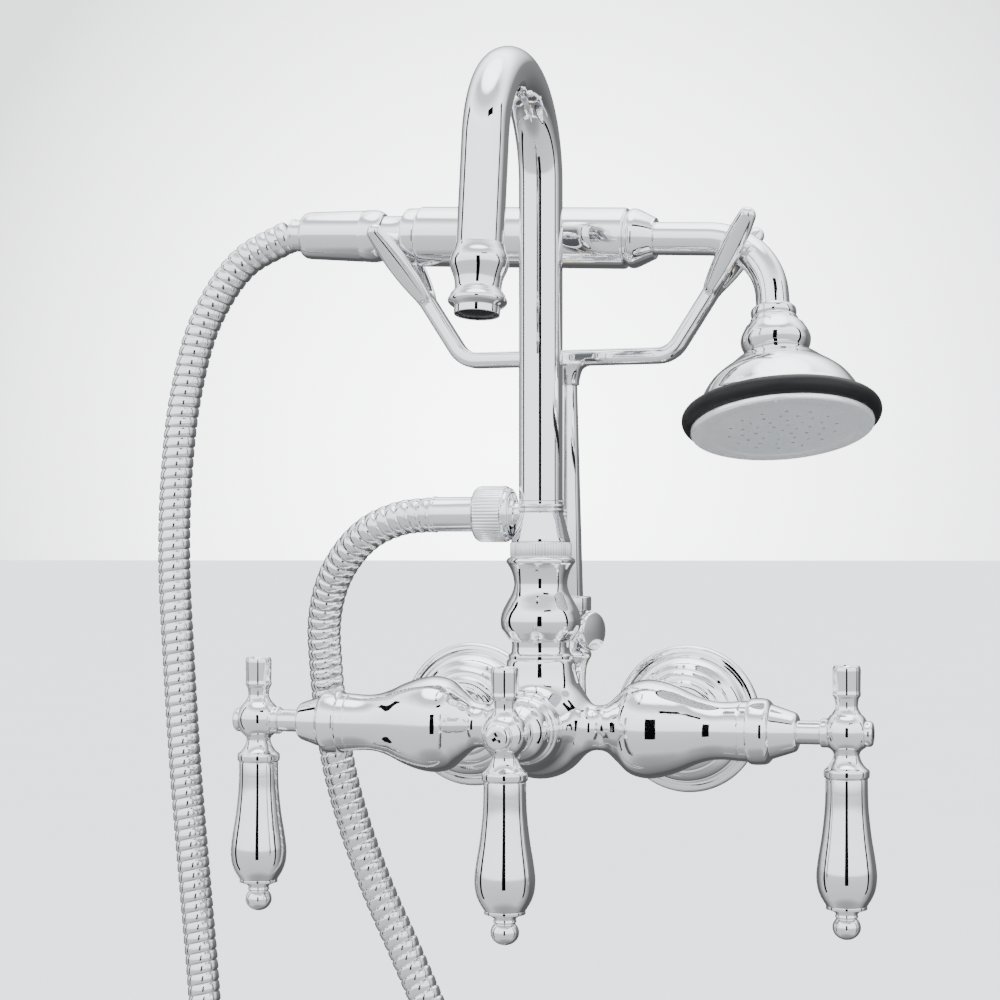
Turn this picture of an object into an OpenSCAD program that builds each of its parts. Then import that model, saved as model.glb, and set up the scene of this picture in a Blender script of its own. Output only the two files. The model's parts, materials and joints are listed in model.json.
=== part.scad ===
// Wall mounted bath faucet: two inlets, three lever handles, a gooseneck spout on a turned tower, and a
// telephone style hand shower in a forked cradle, fed by a metal hose.
// Frame: the origin is on the wall plane, midway between the inlets at valve height. +X is right seen from
// the front, +Y goes into the wall and +Z is up.

/* [Wall fixing] */
// Distance between the centres of the two inlets
inlet_centres = 86; // [84:0.5:88]
// Distance from the wall to the valve axis
reach = 57; // [57:0.5:58]
// Outside diameter of a wall flange
flange_dia = 56; // [52:0.5:58]
// Thickness of the wall or tub rim that the shanks pass through
wall_thick = 10; // [8:0.5:12]
// Outside diameter of the inlet thread, G 1/2
inlet_thread_dia = 20.955; // [20.9:0.005:21]
// Length of inlet thread that is left behind the locknut
inlet_thread_len = 18; // [15:1:30]

/* [Valve body] */
// Diameter of the globe in the middle of the body
globe_dia = 38; // [36:0.5:40]
// Largest diameter of the bulb over each inlet
inlet_bulb_dia = 35.4; // [34:0.2:36]
// Distance from the middle of the body to each end handle's lever
handle_x = 111; // [110:0.5:112]
// Distance from the valve axis forward to the diverter's lever
diverter_reach = 45; // [45:0.5:47]

/* [Lever handles] */
// Diameter of the ball at the middle of a handle's hub
hub_ball_dia = 16.5; // [16:0.1:17]
// Largest diameter of a lever's grip
grip_dia = 21; // [20.4:0.2:22]
// Distance from the hub's centre to the lower end of the grip
grip_end = 60; // [60:0.5:62]
// Diameter of the ball on the lever's tip
finial_dia = 9.75; // [9:0.25:11]

/* [Tower and spout] */
// Outside diameter of the spout's tube
spout_tube_dia = 16; // [15.5:0.1:16.2]
// Height of the tower's top above the valve axis
tower_top = 81.8; // [81.8:0.1:82.5]
// Radius of the gooseneck's bend, on the tube's centreline
bend_radius = 34; // [33:0.5:36]
// Height of the centre of the gooseneck's bend
bend_height = 197; // [190:1:205]
// Forward lean of the spout's outlet leg, in degrees
outlet_lean = 8.7; // [7:0.1:10]
// Length of the spout's outlet leg
outlet_leg = 61.3; // [60:0.1:64]

/* [Hand shower] */
// Height of the hand shower's axis over the tower
handset_height = 182.6; // [182.4:0.1:183]
// Downward tilt of the hand shower towards its head, in degrees
handset_tilt = 2.86; // [2.7:0.01:3]
// Diameter of the hand shower's grip
handset_grip_dia = 23; // [22:0.1:23.2]
// Diameter of the tube between the grip and the head
neck_tube_dia = 12.4; // [12:0.1:12.6]
// Radius of the neck tube's bend
neck_bend_radius = 26; // [25.8:0.1:26.2]
// Angle through which the neck tube bends, in degrees
neck_bend_angle = 80.5; // [80:0.1:81]
// Forward lean of the shower head, in degrees
head_lean = 15.6; // [15:0.1:16]
// Outside diameter of the shower head's rubber ring
head_dia = 72; // [70:0.5:72]

/* [Cradle] */
// Distance from the tower's axis back to the cradle's post
post_offset = 36; // [36:0.1:36.4]
// Length of the cradle's straight bar
bar_len = 81.4; // [80:0.2:83]
// Height of the bar's middle
bar_height = 137; // [136:0.1:138]
// Slope of the arms from upright, in degrees
arm_slope = 33; // [32.6:0.1:33.4]
// Lean of each prong away from the middle of the fork, in degrees
prong_lean = 23.1; // [22.9:0.1:23.6]

/* [Hose] */
// Outside diameter of the shower hose
hose_dia = 13; // [12:0.5:13]

/* [Hidden] */

$fn = 96;
chrome_color = "#d9dcde";
brass_color = "#c9a24b";
steel_color = "#b8bcc0";
rubber_color = "#1b1b1d";
ceramic_color = "#f1efe8";
plate_color = "#c9cbcc";

slip = 0.05;          // radial clearance of a running fit
air = 0.3;            // clearance between parts that move past each other
eps = 0.02;           // overshoot of a cutter past the face that it opens
lap = 0.5;            // overlap of a straight stretch of tube with the bend that it joins
skin = 0.1;           // how much the straight stretch is thicker at each wall

inlet_x = inlet_centres / 2;
body_end_x = 74;
bonnet_len = 20.2;
bonnet_bore_r = 8.6;
cartridge_r = 8.5;
cartridge_start_x = 56;
stem_r = 4.15;
spindle_r = 3;
screw_shank_r = 1.5;
waterway_r = 5;
neck_r = 13;
neck_front_y = -14;
shank_r = 11;
shank_start_y = -22;
washer_thick = 2;
nut_thick = 8;
gasket_thick = 1.5;
boss_top_z = 24.4;
column_top_z = 61.6;
knurl_top_z = 67;
cone_top_z = 77.8;
column_bore_r = 7.75;
tail_r = 6;
tail_bottom_z = 42;
outlet_z = 77.3;
outlet_nut_x = 10.3;
sleeve_end_x = 41;
post_y = post_offset - reach;
post_r = 6.2;
fork_base = [55, 0, 159.5];
prong_thick = 4.4;
prong_width = 6.6;
prong_gap = -0.6;
tube_r = spout_tube_dia / 2;
tube_bore_r = 6.9;
hose_sides = 10;

// The hose's route, from the outlet sleeve down, round the bottom of its loop and up to the hand shower
hose_route = [
    [-41, -57, 77.3], [-54, -56, 76], [-67, -54, 71], [-78, -50, 62], [-86, -45, 51], [-91, -40, 37],
    [-92, -36, 20], [-91, -33, 0], [-88, -32, -20], [-82, -31, -42], [-73, -30, -66], [-62, -29, -90],
    [-49, -29, -118], [-36, -28, -150], [-25, -28, -184], [-17, -27, -220], [-13, -27, -258],
    [-12, -26, -296], [-14, -26, -338], [-23, -25, -373], [-46, -24, -397], [-79, -23, -406],
    [-112, -22, -397], [-135, -21, -373], [-144, -21, -340], [-146, -21, -304], [-147, -21, -266],
    [-147, -21, -228], [-147, -21, -190], [-148, -21, -152], [-150, -21, -112], [-154, -21, -68],
    [-158, -21, -24], [-161, -21, 20], [-163, -21, 60], [-162, -21, 94], [-158, -21, 126],
    [-149, -21, 156], [-133, -21, 178], [-112.8, -21, 188.2]
];

// ---- placing ----

// Turns what is drawn upright so that its axis lies along +X
module along_x() rotate([0, 90, 0]) children();

// Turns what is drawn upright so that its axis points out of the wall
module forward() rotate([90, 0, 0]) children();

// Turns what is drawn upright so that its axis points into the wall
module backward() rotate([-90, 0, 0]) children();

// Moves from the wall plane to the valve axis
module at_valves() translate([0, -reach, 0]) children();

// Places a mechanism drawn along +X at the hot end, the cold end or the diverter
module at_hot() at_valves() mirror([1, 0, 0]) children();
module at_cold() at_valves() children();
module at_diverter() at_valves() rotate([0, 0, -90]) children();

// Draws its children once on each inlet
module both_inlets() for (side = [-1, 1]) translate([side * inlet_x, 0, 0]) children();

// A solid of revolution about Z from [radius, height] points
module turned(outline) rotate_extrude() polygon(outline);

// A tube of revolution between two heights
module ring(outer_r, inner_r, low, high) difference() {
    translate([0, 0, low]) cylinder(r = outer_r, h = high - low);
    translate([0, 0, low - eps]) cylinder(r = inner_r, h = high - low + 2 * eps);
}

// A bent stretch of tube in the XZ plane, its bend centred on the origin
module bend(radius, outer_r, inner_r, start, sweep)
    rotate([90, 0, 0]) rotate([0, 0, start]) rotate_extrude(angle = sweep)
        translate([radius, 0]) difference() {
            circle(r = outer_r);
            circle(r = inner_r);
        }

// An upright hexagonal prism
module hexagon(across, low, high)
    translate([0, 0, low]) cylinder(d = across / cos(30), h = high - low, $fn = 6);

// ---- body and wall fixing ----

// Outline of one arm of the body, from the globe out to its bonnet
arm_outline = [
    [8, 21], [8.8, 25], [12.5, 29.5], [16.3, 34], [inlet_bulb_dia / 2, 39.5], [17.1, 45], [14.9, 52],
    [12.2, 58], [10.7, 63], [10.3, 67.5], [10.5, 71], [10.7, body_end_x]
];

// Both arms in one turned piece, drawn along +Z
module body_arms() turned([
    [0, -body_end_x],
    for (i = [len(arm_outline) - 1:-1:0]) [arm_outline[i][0], -arm_outline[i][1]],
    each arm_outline,
    [0, body_end_x]
]);

// The waterway through both arms and the cavities at their ends, drawn along +Z
module arm_bores() {
    cylinder(r = waterway_r, h = 2 * body_end_x, center = true);
    for (low = [cartridge_start_x, -body_end_x - 1])
        translate([0, 0, low]) cylinder(r = bonnet_bore_r, h = body_end_x - cartridge_start_x + 1);
}

// Passage from an inlet back through the wall neck, drawn along the wall direction
module inlet_bore() {
    cylinder(r = waterway_r, h = reach);
    translate([0, 0, reach + shank_start_y]) cylinder(r = shank_r + slip, h = reach);
}

// The body's boss under the tower, drawn upright
module tower_boss() turned([
    [0, 0], [17, 0], [18.2, 7], [16.2, 11], [14.2, 15], [12.9, 20], [12.4, boss_top_z], [0, boss_top_z]
]);

// The body's boss behind the diverter's bonnet, drawn upright
module diverter_boss() turned([
    [0, 0], [14, 0], [14, 15], [12.6, 18], [12.2, 22], [0, 22]
]);

module valve_body() color(chrome_color) at_valves() difference() {
    union() {
        sphere(d = globe_dia);
        along_x() body_arms();
        both_inlets() backward() turned([
            [0, 0], [15.5, 0], [15.5, 6], [14.2, 14], [neck_r, 21], [neck_r, reach + neck_front_y + 6],
            [0, reach + neck_front_y + 6]
        ]);
        tower_boss();
        forward() diverter_boss();
        backward() turned([[0, 0], [10, 0], [10, 19], [9, 22], [0, 22]]);
    }
    along_x() arm_bores();
    both_inlets() backward() inlet_bore();
    translate([0, 0, 3]) cylinder(r = waterway_r, h = boss_top_z);
    for (turn = [0, 120, 240]) rotate([0, 0, turn]) translate([7.4, 0, 0]) cylinder(r = 1.1, h = 30);
    forward() translate([0, 0, 8]) cylinder(r = bonnet_bore_r, h = 20);
}

// A threaded shank through the wall, drawn along the wall direction
module inlet_shank() {
    plain_end = wall_thick + washer_thick + nut_thick + 1;
    difference() {
        union() {
            translate([0, 0, shank_start_y]) cylinder(r = shank_r, h = plain_end - shank_start_y);
            translate([0, 0, plain_end - 1]) cylinder(r = 9.3, h = 3);
            translate([0, 0, plain_end + 1]) cylinder(d = inlet_thread_dia, h = inlet_thread_len);
        }
        translate([0, 0, shank_start_y - eps])
            cylinder(r = 7, h = plain_end - shank_start_y + inlet_thread_len + 2);
    }
}

module hot_inlet_shank() color(brass_color) translate([-inlet_x, 0, 0]) backward() inlet_shank();
module cold_inlet_shank() color(brass_color) translate([inlet_x, 0, 0]) backward() inlet_shank();

// A dished flange with a rolled rim, drawn with the room side up and its back on the plane
module wall_flange() {
    rim = flange_dia / 2;
    turned([
        [neck_r + slip, 15], [neck_r + slip, 12.8], [17, 12], [21, 9], [23.5, 3.5], [23.8, 0], [rim - 0.6, 0],
        [rim, 1.2], [rim, 2.6], [rim - 1, 4], [rim - 2.6, 4.6], [rim - 3.4, 4.4], [rim - 4.2, 5.4],
        [rim - 5, 8], [rim - 8, 11.6], [rim - 10.5, 13.2], [15.2, 14.4], [14.6, 15.4], [13.6, 15.6]
    ]);
}

module hot_wall_flange() color(chrome_color)
    translate([-inlet_x, -gasket_thick, 0]) forward() wall_flange();
module cold_wall_flange() color(chrome_color)
    translate([inlet_x, -gasket_thick, 0]) forward() wall_flange();

module wall_gaskets() color(rubber_color) both_inlets() forward()
    ring(flange_dia / 2 - 0.6, shank_r + slip, 0, gasket_thick);

module shank_washers() color(steel_color) both_inlets() backward()
    ring(17, shank_r + slip, wall_thick, wall_thick + washer_thick);

module shank_locknuts() color(brass_color) both_inlets() backward() difference() {
    hexagon(28, wall_thick + washer_thick, wall_thick + washer_thick + nut_thick);
    cylinder(r = shank_r + slip, h = 2 * wall_thick + nut_thick);
}

// ---- valve mechanisms, drawn along +X ----

// The bonnet that screws onto the end of an arm, drawn along +Z from its seat
module bonnet() difference() {
    turned([
        [0, 0], [10.7, 0], [10.8, 2.6], [11.4, 3], [11.7, 3.6], [11.7, 8.4], [11.2, 9.6], [10, 10.7],
        [9.6, 11.2], [7.1, 19], [6.5, 19.8], [5.6, bonnet_len], [0, bonnet_len]
    ]);
    translate([0, 0, -eps]) cylinder(r = bonnet_bore_r, h = 10 + eps);
    cylinder(r = stem_r + slip, h = bonnet_len + eps);
}

// The fixed headwork that carries the stem, drawn along +Z
module cartridge(length) difference() {
    cylinder(r = cartridge_r, h = length);
    translate([0, 0, -eps]) cylinder(r = 7, h = 8 + eps);
    cylinder(r = stem_r + slip, h = length + eps);
}

// A ceramic disc with a quarter slot for the water, drawn along +Z
module seat_disc() difference() {
    cylinder(r = 6.9, h = 3);
    translate([1, 1, -eps]) cube([3, 3, 3 + 2 * eps]);
}

// The stem with the moving disc on its inner end and a spindle for the handle, drawn along +Z
module stem(length) {
    translate([0, 0, 3 + slip]) cylinder(r = 6.8, h = 3.5);
    translate([0, 0, 6]) cylinder(r = stem_r, h = length - 6);
    translate([0, 0, length]) cylinder(r = spindle_r, h = 11.5);
}

module lever_profile_hub() turned([
    [0, 24.2], [3.2, 24.2], [4.4, 23.5], [4.9, 22.2], [4.8, 14.2], [4.95, 13.4], [4.4, 12.4],
    [4, 10.6], [4.1, 9], [4.6, 7.8], [5.3, 6.7], [6.7, 5.2], [7.8, 2.9], [hub_ball_dia / 2, 0.4],
    [7.8, -2.1], [6.7, -4.4], [5.3, -5.9], [4.6, -7], [4.8, -8.4], [5.6, -10.2], [7, -12],
    [7.9, -12.6], [8, -15.1], [7.5, -15.7], [0, -15.7]
]);

// Hub of a lever handle: knob above, socket ring below, drawn with the stem along +X
module handle_hub() difference() {
    union() {
        difference() {
            lever_profile_hub();
            for (side = [-1, 1]) translate([side * 10.6, 0, 0]) cube([8, 20, 17], center = true);
        }
        translate([-9, 0, 0]) along_x() cylinder(r = 5.2, h = 6);
        along_x() cylinder(r = 4.9, h = 6.6);
    }
    translate([-9 - eps, 0, 0]) along_x() cylinder(r = spindle_r, h = 11.5 + eps);
    along_x() cylinder(r = screw_shank_r, h = 8);
    translate([6.6, 0, 0]) along_x() cylinder(r = 4.6, h = 2);
    translate([0, 0, -16]) cylinder(r = 2.4, h = 9);
}

// The lever's grip, a long bell shape below the hub
module handle_grip() difference() {
    widest = grip_dia / 2;
    turned([
        [0, -15.7], [7.4, -15.7], [7.4, -21], [7.6, -26], [8, -30.5], [8.8, -37], [9.8, -43],
        [widest, -48.6], [10.45, -51.6], [10, -54.4], [8.9, -57.2], [7.7, -59.2], [7.2, -grip_end],
        [0, -grip_end]
    ]);
    translate([0, 0, -grip_end - eps]) cylinder(r = 2.4, h = grip_end);
}

// Finial with the rod that clamps the grip to the hub
module handle_finial() {
    ball = finial_dia / 2;
    translate([0, 0, -grip_end - 1.3]) cylinder(r = 7.2, h = 1.3);
    translate([0, 0, -grip_end - 3.8]) cylinder(r1 = 3.25, r2 = 5.4, h = 2.5);
    translate([0, 0, -grip_end - 2.6 - ball]) sphere(r = ball);
    translate([0, 0, -grip_end]) cylinder(r = 2.4, h = grip_end - 8);
}

// The round headed screw that holds the hub on the spindle
module handle_screw() difference() {
    union() {
        translate([6.6, 0, 0]) along_x() cylinder(r = 4.5, h = 2);
        translate([8.6, 0, 0]) along_x() cylinder(r1 = 4.5, r2 = 3.6, h = 0.8);
        translate([2.5, 0, 0]) along_x() cylinder(r = screw_shank_r, h = 4.2);
    }
    translate([8.4, -2.6, -0.5]) cube([2, 5.2, 1]);
    translate([8.4, -0.5, -2.6]) cube([2, 1, 5.2]);
}

stem_len = handle_x - 9 - cartridge_start_x;
diverter_seat = 8;
diverter_stem_len = diverter_reach - 9 - diverter_seat;

module end_bonnet() translate([body_end_x, 0, 0]) along_x() bonnet();
module end_cartridge() translate([cartridge_start_x, 0, 0]) along_x() cartridge(27.9);
module end_stem() translate([cartridge_start_x, 0, 0]) along_x() stem(stem_len);

module hot_bonnet() color(chrome_color) at_hot() end_bonnet();
module cold_bonnet() color(chrome_color) at_cold() end_bonnet();
module diverter_bonnet() color(chrome_color) at_diverter() translate([22, 0, 0]) along_x() difference() {
    turned([
        [0, 0], [11.6, 0], [11.6, 2.4], [10.8, 3], [10.6, 6], [9.8, 8.8], [8.4, 11], [7.1, 12.4],
        [7.1, 13.5], [0, 13.5]
    ]);
    translate([0, 0, -eps]) cylinder(r = bonnet_bore_r, h = 6 + eps);
    cylinder(r = stem_r + slip, h = 15);
}

module hot_cartridge() color(brass_color) at_hot() end_cartridge();
module cold_cartridge() color(brass_color) at_cold() end_cartridge();
module diverter_cartridge() color(brass_color) at_diverter()
    translate([diverter_seat, 0, 0]) along_x() cartridge(19.9);

module ceramic_seat_discs() color(ceramic_color) {
    at_hot() translate([cartridge_start_x, 0, 0]) along_x() seat_disc();
    at_cold() translate([cartridge_start_x, 0, 0]) along_x() seat_disc();
    at_diverter() translate([diverter_seat, 0, 0]) along_x() seat_disc();
}

module hot_stem() color(brass_color) at_hot() end_stem();
module cold_stem() color(brass_color) at_cold() end_stem();
module diverter_stem() color(brass_color) at_diverter()
    translate([diverter_seat, 0, 0]) along_x() stem(diverter_stem_len);

module at_hot_lever() at_hot() translate([handle_x, 0, 0]) children();
module at_cold_lever() at_cold() translate([handle_x, 0, 0]) children();
module at_diverter_lever() at_diverter() translate([diverter_reach, 0, 0]) children();

module hot_handle_hub() color(chrome_color) at_hot_lever() handle_hub();
module hot_handle_grip() color(chrome_color) at_hot_lever() handle_grip();
module hot_handle_finial() color(chrome_color) at_hot_lever() handle_finial();
module hot_handle_screw() color(chrome_color) at_hot_lever() handle_screw();
module cold_handle_hub() color(chrome_color) at_cold_lever() handle_hub();
module cold_handle_grip() color(chrome_color) at_cold_lever() handle_grip();
module cold_handle_finial() color(chrome_color) at_cold_lever() handle_finial();
module cold_handle_screw() color(chrome_color) at_cold_lever() handle_screw();
module diverter_handle_hub() color(chrome_color) at_diverter_lever() handle_hub();
module diverter_handle_grip() color(chrome_color) at_diverter_lever() handle_grip();
module diverter_handle_finial() color(chrome_color) at_diverter_lever() handle_finial();
module diverter_handle_screw() color(chrome_color) at_diverter_lever() handle_screw();

// ---- tower ----

module tower_column() color(chrome_color) at_valves() difference() {
    turned([
        [0, boss_top_z], [11.9, boss_top_z], [11.9, 26], [10.7, 27.4], [10.6, 30.6], [12.6, 32.6],
        [14.2, 35.2], [14.65, 38.3], [14, 41.4], [12.4, 45], [10.6, 48.2], [9.75, 50.7], [9.9, 53.6],
        [10.8, 57], [12.3, 59.2], [12.5, 60], [12.2, 60.8], [11.3, column_top_z], [0, column_top_z]
    ]);
    cylinder(r = waterway_r, h = tail_bottom_z);
    translate([0, 0, tail_bottom_z - 1]) cylinder(r = tail_r + slip, h = 20);
    translate([0, 0, 52]) cylinder(r = column_bore_r, h = 10);
    for (turn = [0, 120, 240]) rotate([0, 0, turn]) translate([7.4, 0, 0]) cylinder(r = 1.1, h = 54);
}

module knurled_lock_ring() color(chrome_color) at_valves() difference() {
    turned([
        [0, column_top_z], [10.9, column_top_z], [11.2, 62], [11.2, 66.5], [10.8, knurl_top_z],
        [0, knurl_top_z]
    ]);
    cylinder(r = column_bore_r, h = 70);
}

// The side nipple's direction, from the tower's axis out to the left
module at_outlet() at_valves() translate([0, 0, outlet_z]) mirror([1, 0, 0]) along_x() children();

module outlet_collar() color(chrome_color) difference() {
    union() {
        at_valves() turned([
            [0, knurl_top_z], [10.8, knurl_top_z], [10.5, 68.6], [8.15, cone_top_z], [8.5, 78.6],
            [8.1, 79.4], [8.5, 80.4], [8.1, 81.2], [8, tower_top], [0, tower_top]
        ]);
        at_outlet() cylinder(r = 4.4, h = 9.8);
    }
    at_valves() cylinder(r = 7.2, h = 79);
    at_valves() cylinder(r = tail_r + slip, h = 90);
    at_outlet() cylinder(r = 3, h = 12);
    set_screw_place() cylinder(r = 1.55, h = 12);
}

// Axis of the set screw, from the tower's axis out to the front right
module set_screw_place() at_valves() translate([0, 0, 69.2]) rotate([0, 0, -30]) along_x() children();

module collar_set_screw() color(steel_color) set_screw_place() difference() {
    translate([0, 0, 5.75]) cylinder(r = 1.5, h = 4.4);
    translate([0, 0, 9]) cylinder(r = 0.8, h = 2, $fn = 6);
}

module hose_outlet_nipple() color(brass_color) at_outlet() difference() {
    union() {
        translate([0, 0, 9.8]) cylinder(r = 5, h = 0.7);
        translate([0, 0, 10.4]) cylinder(r = 7.7, h = 6.8);
    }
    translate([0, 0, 9]) cylinder(r = 3, h = 10);
}

module outlet_washer() color(rubber_color) at_outlet() ring(7.6, 4, 17.2, 19.2);

module hose_outlet_sleeve() color(chrome_color) at_outlet() difference() {
    union() {
        translate([0, 0, 19.2]) cylinder(r = 7.6, h = 2);
        translate([0, 0, 21.2]) cylinder(r = 6.4, h = sleeve_end_x - 21.2);
    }
    translate([0, 0, 19]) cylinder(r = 4, h = 16);
}

module hose_outlet_nut() color(chrome_color) at_outlet() difference() {
    turned([
        [0, outlet_nut_x + 0.4], [8.9, outlet_nut_x + 0.4], [9.5, 11.3], [9.5, 12.2], [10.3, 12.8],
        [10.3, 22.6], [9.7, 23.9], [8.9, 24.5], [0, 24.5]
    ]);
    translate([0, 0, 10]) cylinder(r = 7.7 + air, h = 11.5);
    cylinder(r = 6.4 + air, h = 26);
}

// ---- cradle ----

module at_post() translate([0, post_y, 0]) children();

module rear_pedestal() color(chrome_color) difference() {
    union() {
        at_valves() backward() translate([0, 0, 22]) cylinder(r = 7.5, h = post_offset - 22);
        at_post() sphere(r = 7.8);
        at_post() turned([
            [0, 0], [7.8, 0], [7.6, 6], [7.2, 14], [7.5, 20], [9.2, 23.6], [9.4, 24.8], [9.4, 26],
            [7.4, 26.6], [7.2, 41.2], [0, 41.2]
        ]);
        lock_place() cylinder(r1 = 5, r2 = 3.6, h = 9.6);
    }
    at_post() translate([0, 0, 27]) cylinder(r = 5.05, h = 20);
    lock_place() cylinder(r = 2.05, h = 12);
}

// Axis of the lock knob, from the post's axis out to the right and a little forward
module lock_place() at_post() translate([0, 0, 33.7]) rotate([0, 0, -22]) along_x() children();

module cradle_lock_knob() color(chrome_color) lock_place() {
    translate([0, 0, 5.1]) cylinder(r = 2, h = 5.1);
    turned([
        [0, 9.9], [6.3, 9.9], [7.25, 10.7], [7.25, 12.6], [6.7, 13.3], [0, 13.3]
    ]);
}

module pedestal_ring() color(chrome_color) at_post() difference() {
    turned([[0, 41.2], [9.1, 41.2], [9.3, 41.6], [9.3, 46.2], [9.1, 46.7], [0, 46.7]]);
    cylinder(r = 5.05, h = 50);
}

module cradle_post() color(chrome_color) at_post() {
    translate([0, 0, 28]) cylinder(r = 5, h = 18.7);
    translate([0, 0, 46.7]) cylinder(r1 = post_r, r2 = 4, h = 79.9);
    translate([0, 0, 126.6]) cylinder(r = 2.5, h = 8);
}

// One prong of the fork, leaning to the front when side is 1
module prong(side, length) translate(fork_base) rotate([0, arm_slope, 0])
    rotate([side * prong_lean, 0, 0]) translate([0, -side * (prong_gap + prong_thick / 2), 0])
        forward() translate([0, 0, -prong_thick / 2]) linear_extrude(prong_thick) {
            translate([-prong_width / 2, -1]) square([prong_width, length + 1 - prong_width / 2]);
            translate([0, length - prong_width / 2]) circle(d = prong_width);
        }

// Right half of the bar's outline on the XZ plane: the bar, its bend and the arm
function right_side(half, top, slope, thick) = let (
    inner_r = 7,
    sweep = 90 - slope,
    middle_r = inner_r + thick / 2,
    centre = [half - middle_r * tan(sweep / 2), bar_height + middle_r],
    out = [cos(slope), -sin(slope)],
    tip = [half, bar_height] + top * [sin(slope), cos(slope)]
) [
    for (a = [0:sweep / 6:sweep + 0.1]) centre + (inner_r + thick) * [sin(a), -cos(a)],
    tip + thick / 2 * out,
    tip - thick / 2 * out,
    for (a = [0:sweep / 6:sweep + 0.1]) centre + inner_r * [sin(sweep - a), -cos(sweep - a)]
];

module cradle_bar() {
    rise = (fork_base[2] - bar_height) / cos(arm_slope) + 4.5;
    right = right_side(bar_len / 2, rise, arm_slope, 6);
    left = [for (i = [len(right) - 1:-1:0]) [-right[i][0], right[i][1]]];
    rotate([90, 0, 0]) translate([0, 0, -4]) linear_extrude(8) polygon(concat(right, left));
}

module cradle_fork() color(chrome_color) at_post() difference() {
    union() {
        cradle_bar();
        for (side = [0, 1]) mirror([side, 0, 0]) {
            prong(1, 37.8);
            prong(-1, 33.6);
        }
        turned([[0, 126.6], [4.7, 126.6], [5, 129], [5.9, 132], [7.4, 134.6], [0, 134.6]]);
    }
    translate([0, 0, 120]) cylinder(r = 2.5, h = 14.7);
}

// ---- spout, drawn with its outlet towards +X and turned to the front ----

module at_spout() at_valves() rotate([0, 0, -90]) children();

// Start of the outlet leg, with its axis pointing down the leg along -Z
module at_outlet_leg() {
    leg_x = bend_radius * (1 + cos(outlet_lean));
    leg_z = bend_height + bend_radius * sin(outlet_lean);
    at_spout() translate([leg_x, 0, leg_z]) rotate([0, -outlet_lean, 0]) children();
}

fitting_start = 37.5;

module spout_gooseneck() color(chrome_color) {
    tube_start = tower_top + 0.2;
    at_spout() spout_pipe(tube_start, bend_height + lap);
    at_spout() translate([bend_radius, 0, bend_height])
        bend(bend_radius, tube_r, tube_bore_r, outlet_lean, 180 - outlet_lean);
    at_outlet_leg() spout_pipe(-fitting_start, lap);
}

// A straight stretch of the spout's tube between two heights
module spout_pipe(low, high) ring(tube_r + skin, tube_bore_r - skin, low, high);

module spout_tail() color(brass_color) at_spout() difference() {
    turned([
        [0, tail_bottom_z], [tail_r, tail_bottom_z], [tail_r, 45.4], [5, 45.4], [5, 46.6], [tail_r, 46.6],
        [tail_r, 67.4], [5.4, 67.4], [5.4, 71], [tail_r, 71], [tail_r, 79.8], [5, 79.8], [5, 81],
        [tail_r, 81], [tail_r, tower_top + 0.2], [tube_bore_r - skin, tower_top + 0.2],
        [tube_bore_r - skin, 96], [0, 96]
    ]);
    cylinder(r = 4.2, h = 100);
}

module spout_seals() color(rubber_color) at_spout() for (height = [46, 80.4])
    translate([0, 0, height]) rotate_extrude() translate([5.53, 0]) circle(r = 0.5);

module spout_end_fitting() color(chrome_color) at_outlet_leg() mirror([0, 0, 1]) difference() {
    turned([
        [0, fitting_start], [8.2, fitting_start], [8.5, 39.2], [9.3, 41], [9.8, 42.7], [9.8, 44.3],
        [9.4, 46], [8.6, 47.7], [8.05, 49.5], [7.85, 51.2], [7.9, 52.8], [8.4, 53.8], [9.1, 55.2],
        [9.8, 56.8], [9.2, 57.8], [8, 58.6],
        [7.7, outlet_leg], [0, outlet_leg]
    ]);
    translate([0, 0, fitting_start - eps]) cylinder(r = tube_bore_r, h = 16);
    translate([0, 0, 52.5]) cylinder(r = 7.2, h = 10);
}

module spout_aerator() color(rubber_color) at_outlet_leg() mirror([0, 0, 1]) difference() {
    translate([0, 0, 52.5]) cylinder(r = 7.2, h = 7.6);
    translate([0, 0, 57.5]) cylinder(r = 5.6, h = 3);
    for (turn = [0:60:300]) rotate([0, 0, turn]) translate([3, 0, 52]) cylinder(r = 0.9, h = 8);
}

// ---- hand shower ----

// The hand shower's own frame: its axis along +X, tilted down towards the head
module at_handset() translate([0, post_y, handset_height]) rotate([0, handset_tilt, 0]) children();

tube_straight_end = 55;

// End of the neck tube, with the head's axis pointing down along -Z
module at_head() at_handset() rotate([-head_lean, 0, 0])
    translate([
        tube_straight_end + neck_bend_radius * sin(neck_bend_angle), 0,
        -neck_bend_radius * (1 - cos(neck_bend_angle))
    ]) rotate([0, -(90 - neck_bend_angle), 0]) children();

module handset_grip() color(chrome_color) at_handset() along_x() difference() {
    grip_r = handset_grip_dia / 2;
    turned([
        [0, -88], [7.5, -88], [7.5, -72.9], [7.95, -72.9], [7.95, -64], [8.6, -64], [8.6, -58.3],
        [grip_r - 0.5, -58.3], [grip_r, -57.6], [grip_r, 22.8], [grip_r - 0.6, 23.8], [0, 23.8]
    ]);
    translate([0, 0, -88 - eps]) cylinder(r = 4.7, h = 112);
}

module handset_end_ring() color(chrome_color) at_handset() along_x() difference() {
    turned([[0, -64], [10.4, -64], [10.85, -63.2], [10.85, -58.8], [10.5, -58.3], [0, -58.3]]);
    translate([0, 0, -65]) cylinder(r = 8.6, h = 8);
}

module handset_collar() color(chrome_color) at_handset() along_x() difference() {
    turned([
        [0, 23.8], [10.3, 23.8], [10.5, 24.4], [11.1, 25.2], [11.1, 27.2], [10.4, 28.8], [7.9, 34.2],
        [7.7, 34.7], [0, 34.7]
    ]);
    translate([0, 0, 23]) cylinder(r = neck_tube_dia / 2 + skin, h = 13);
}

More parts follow.
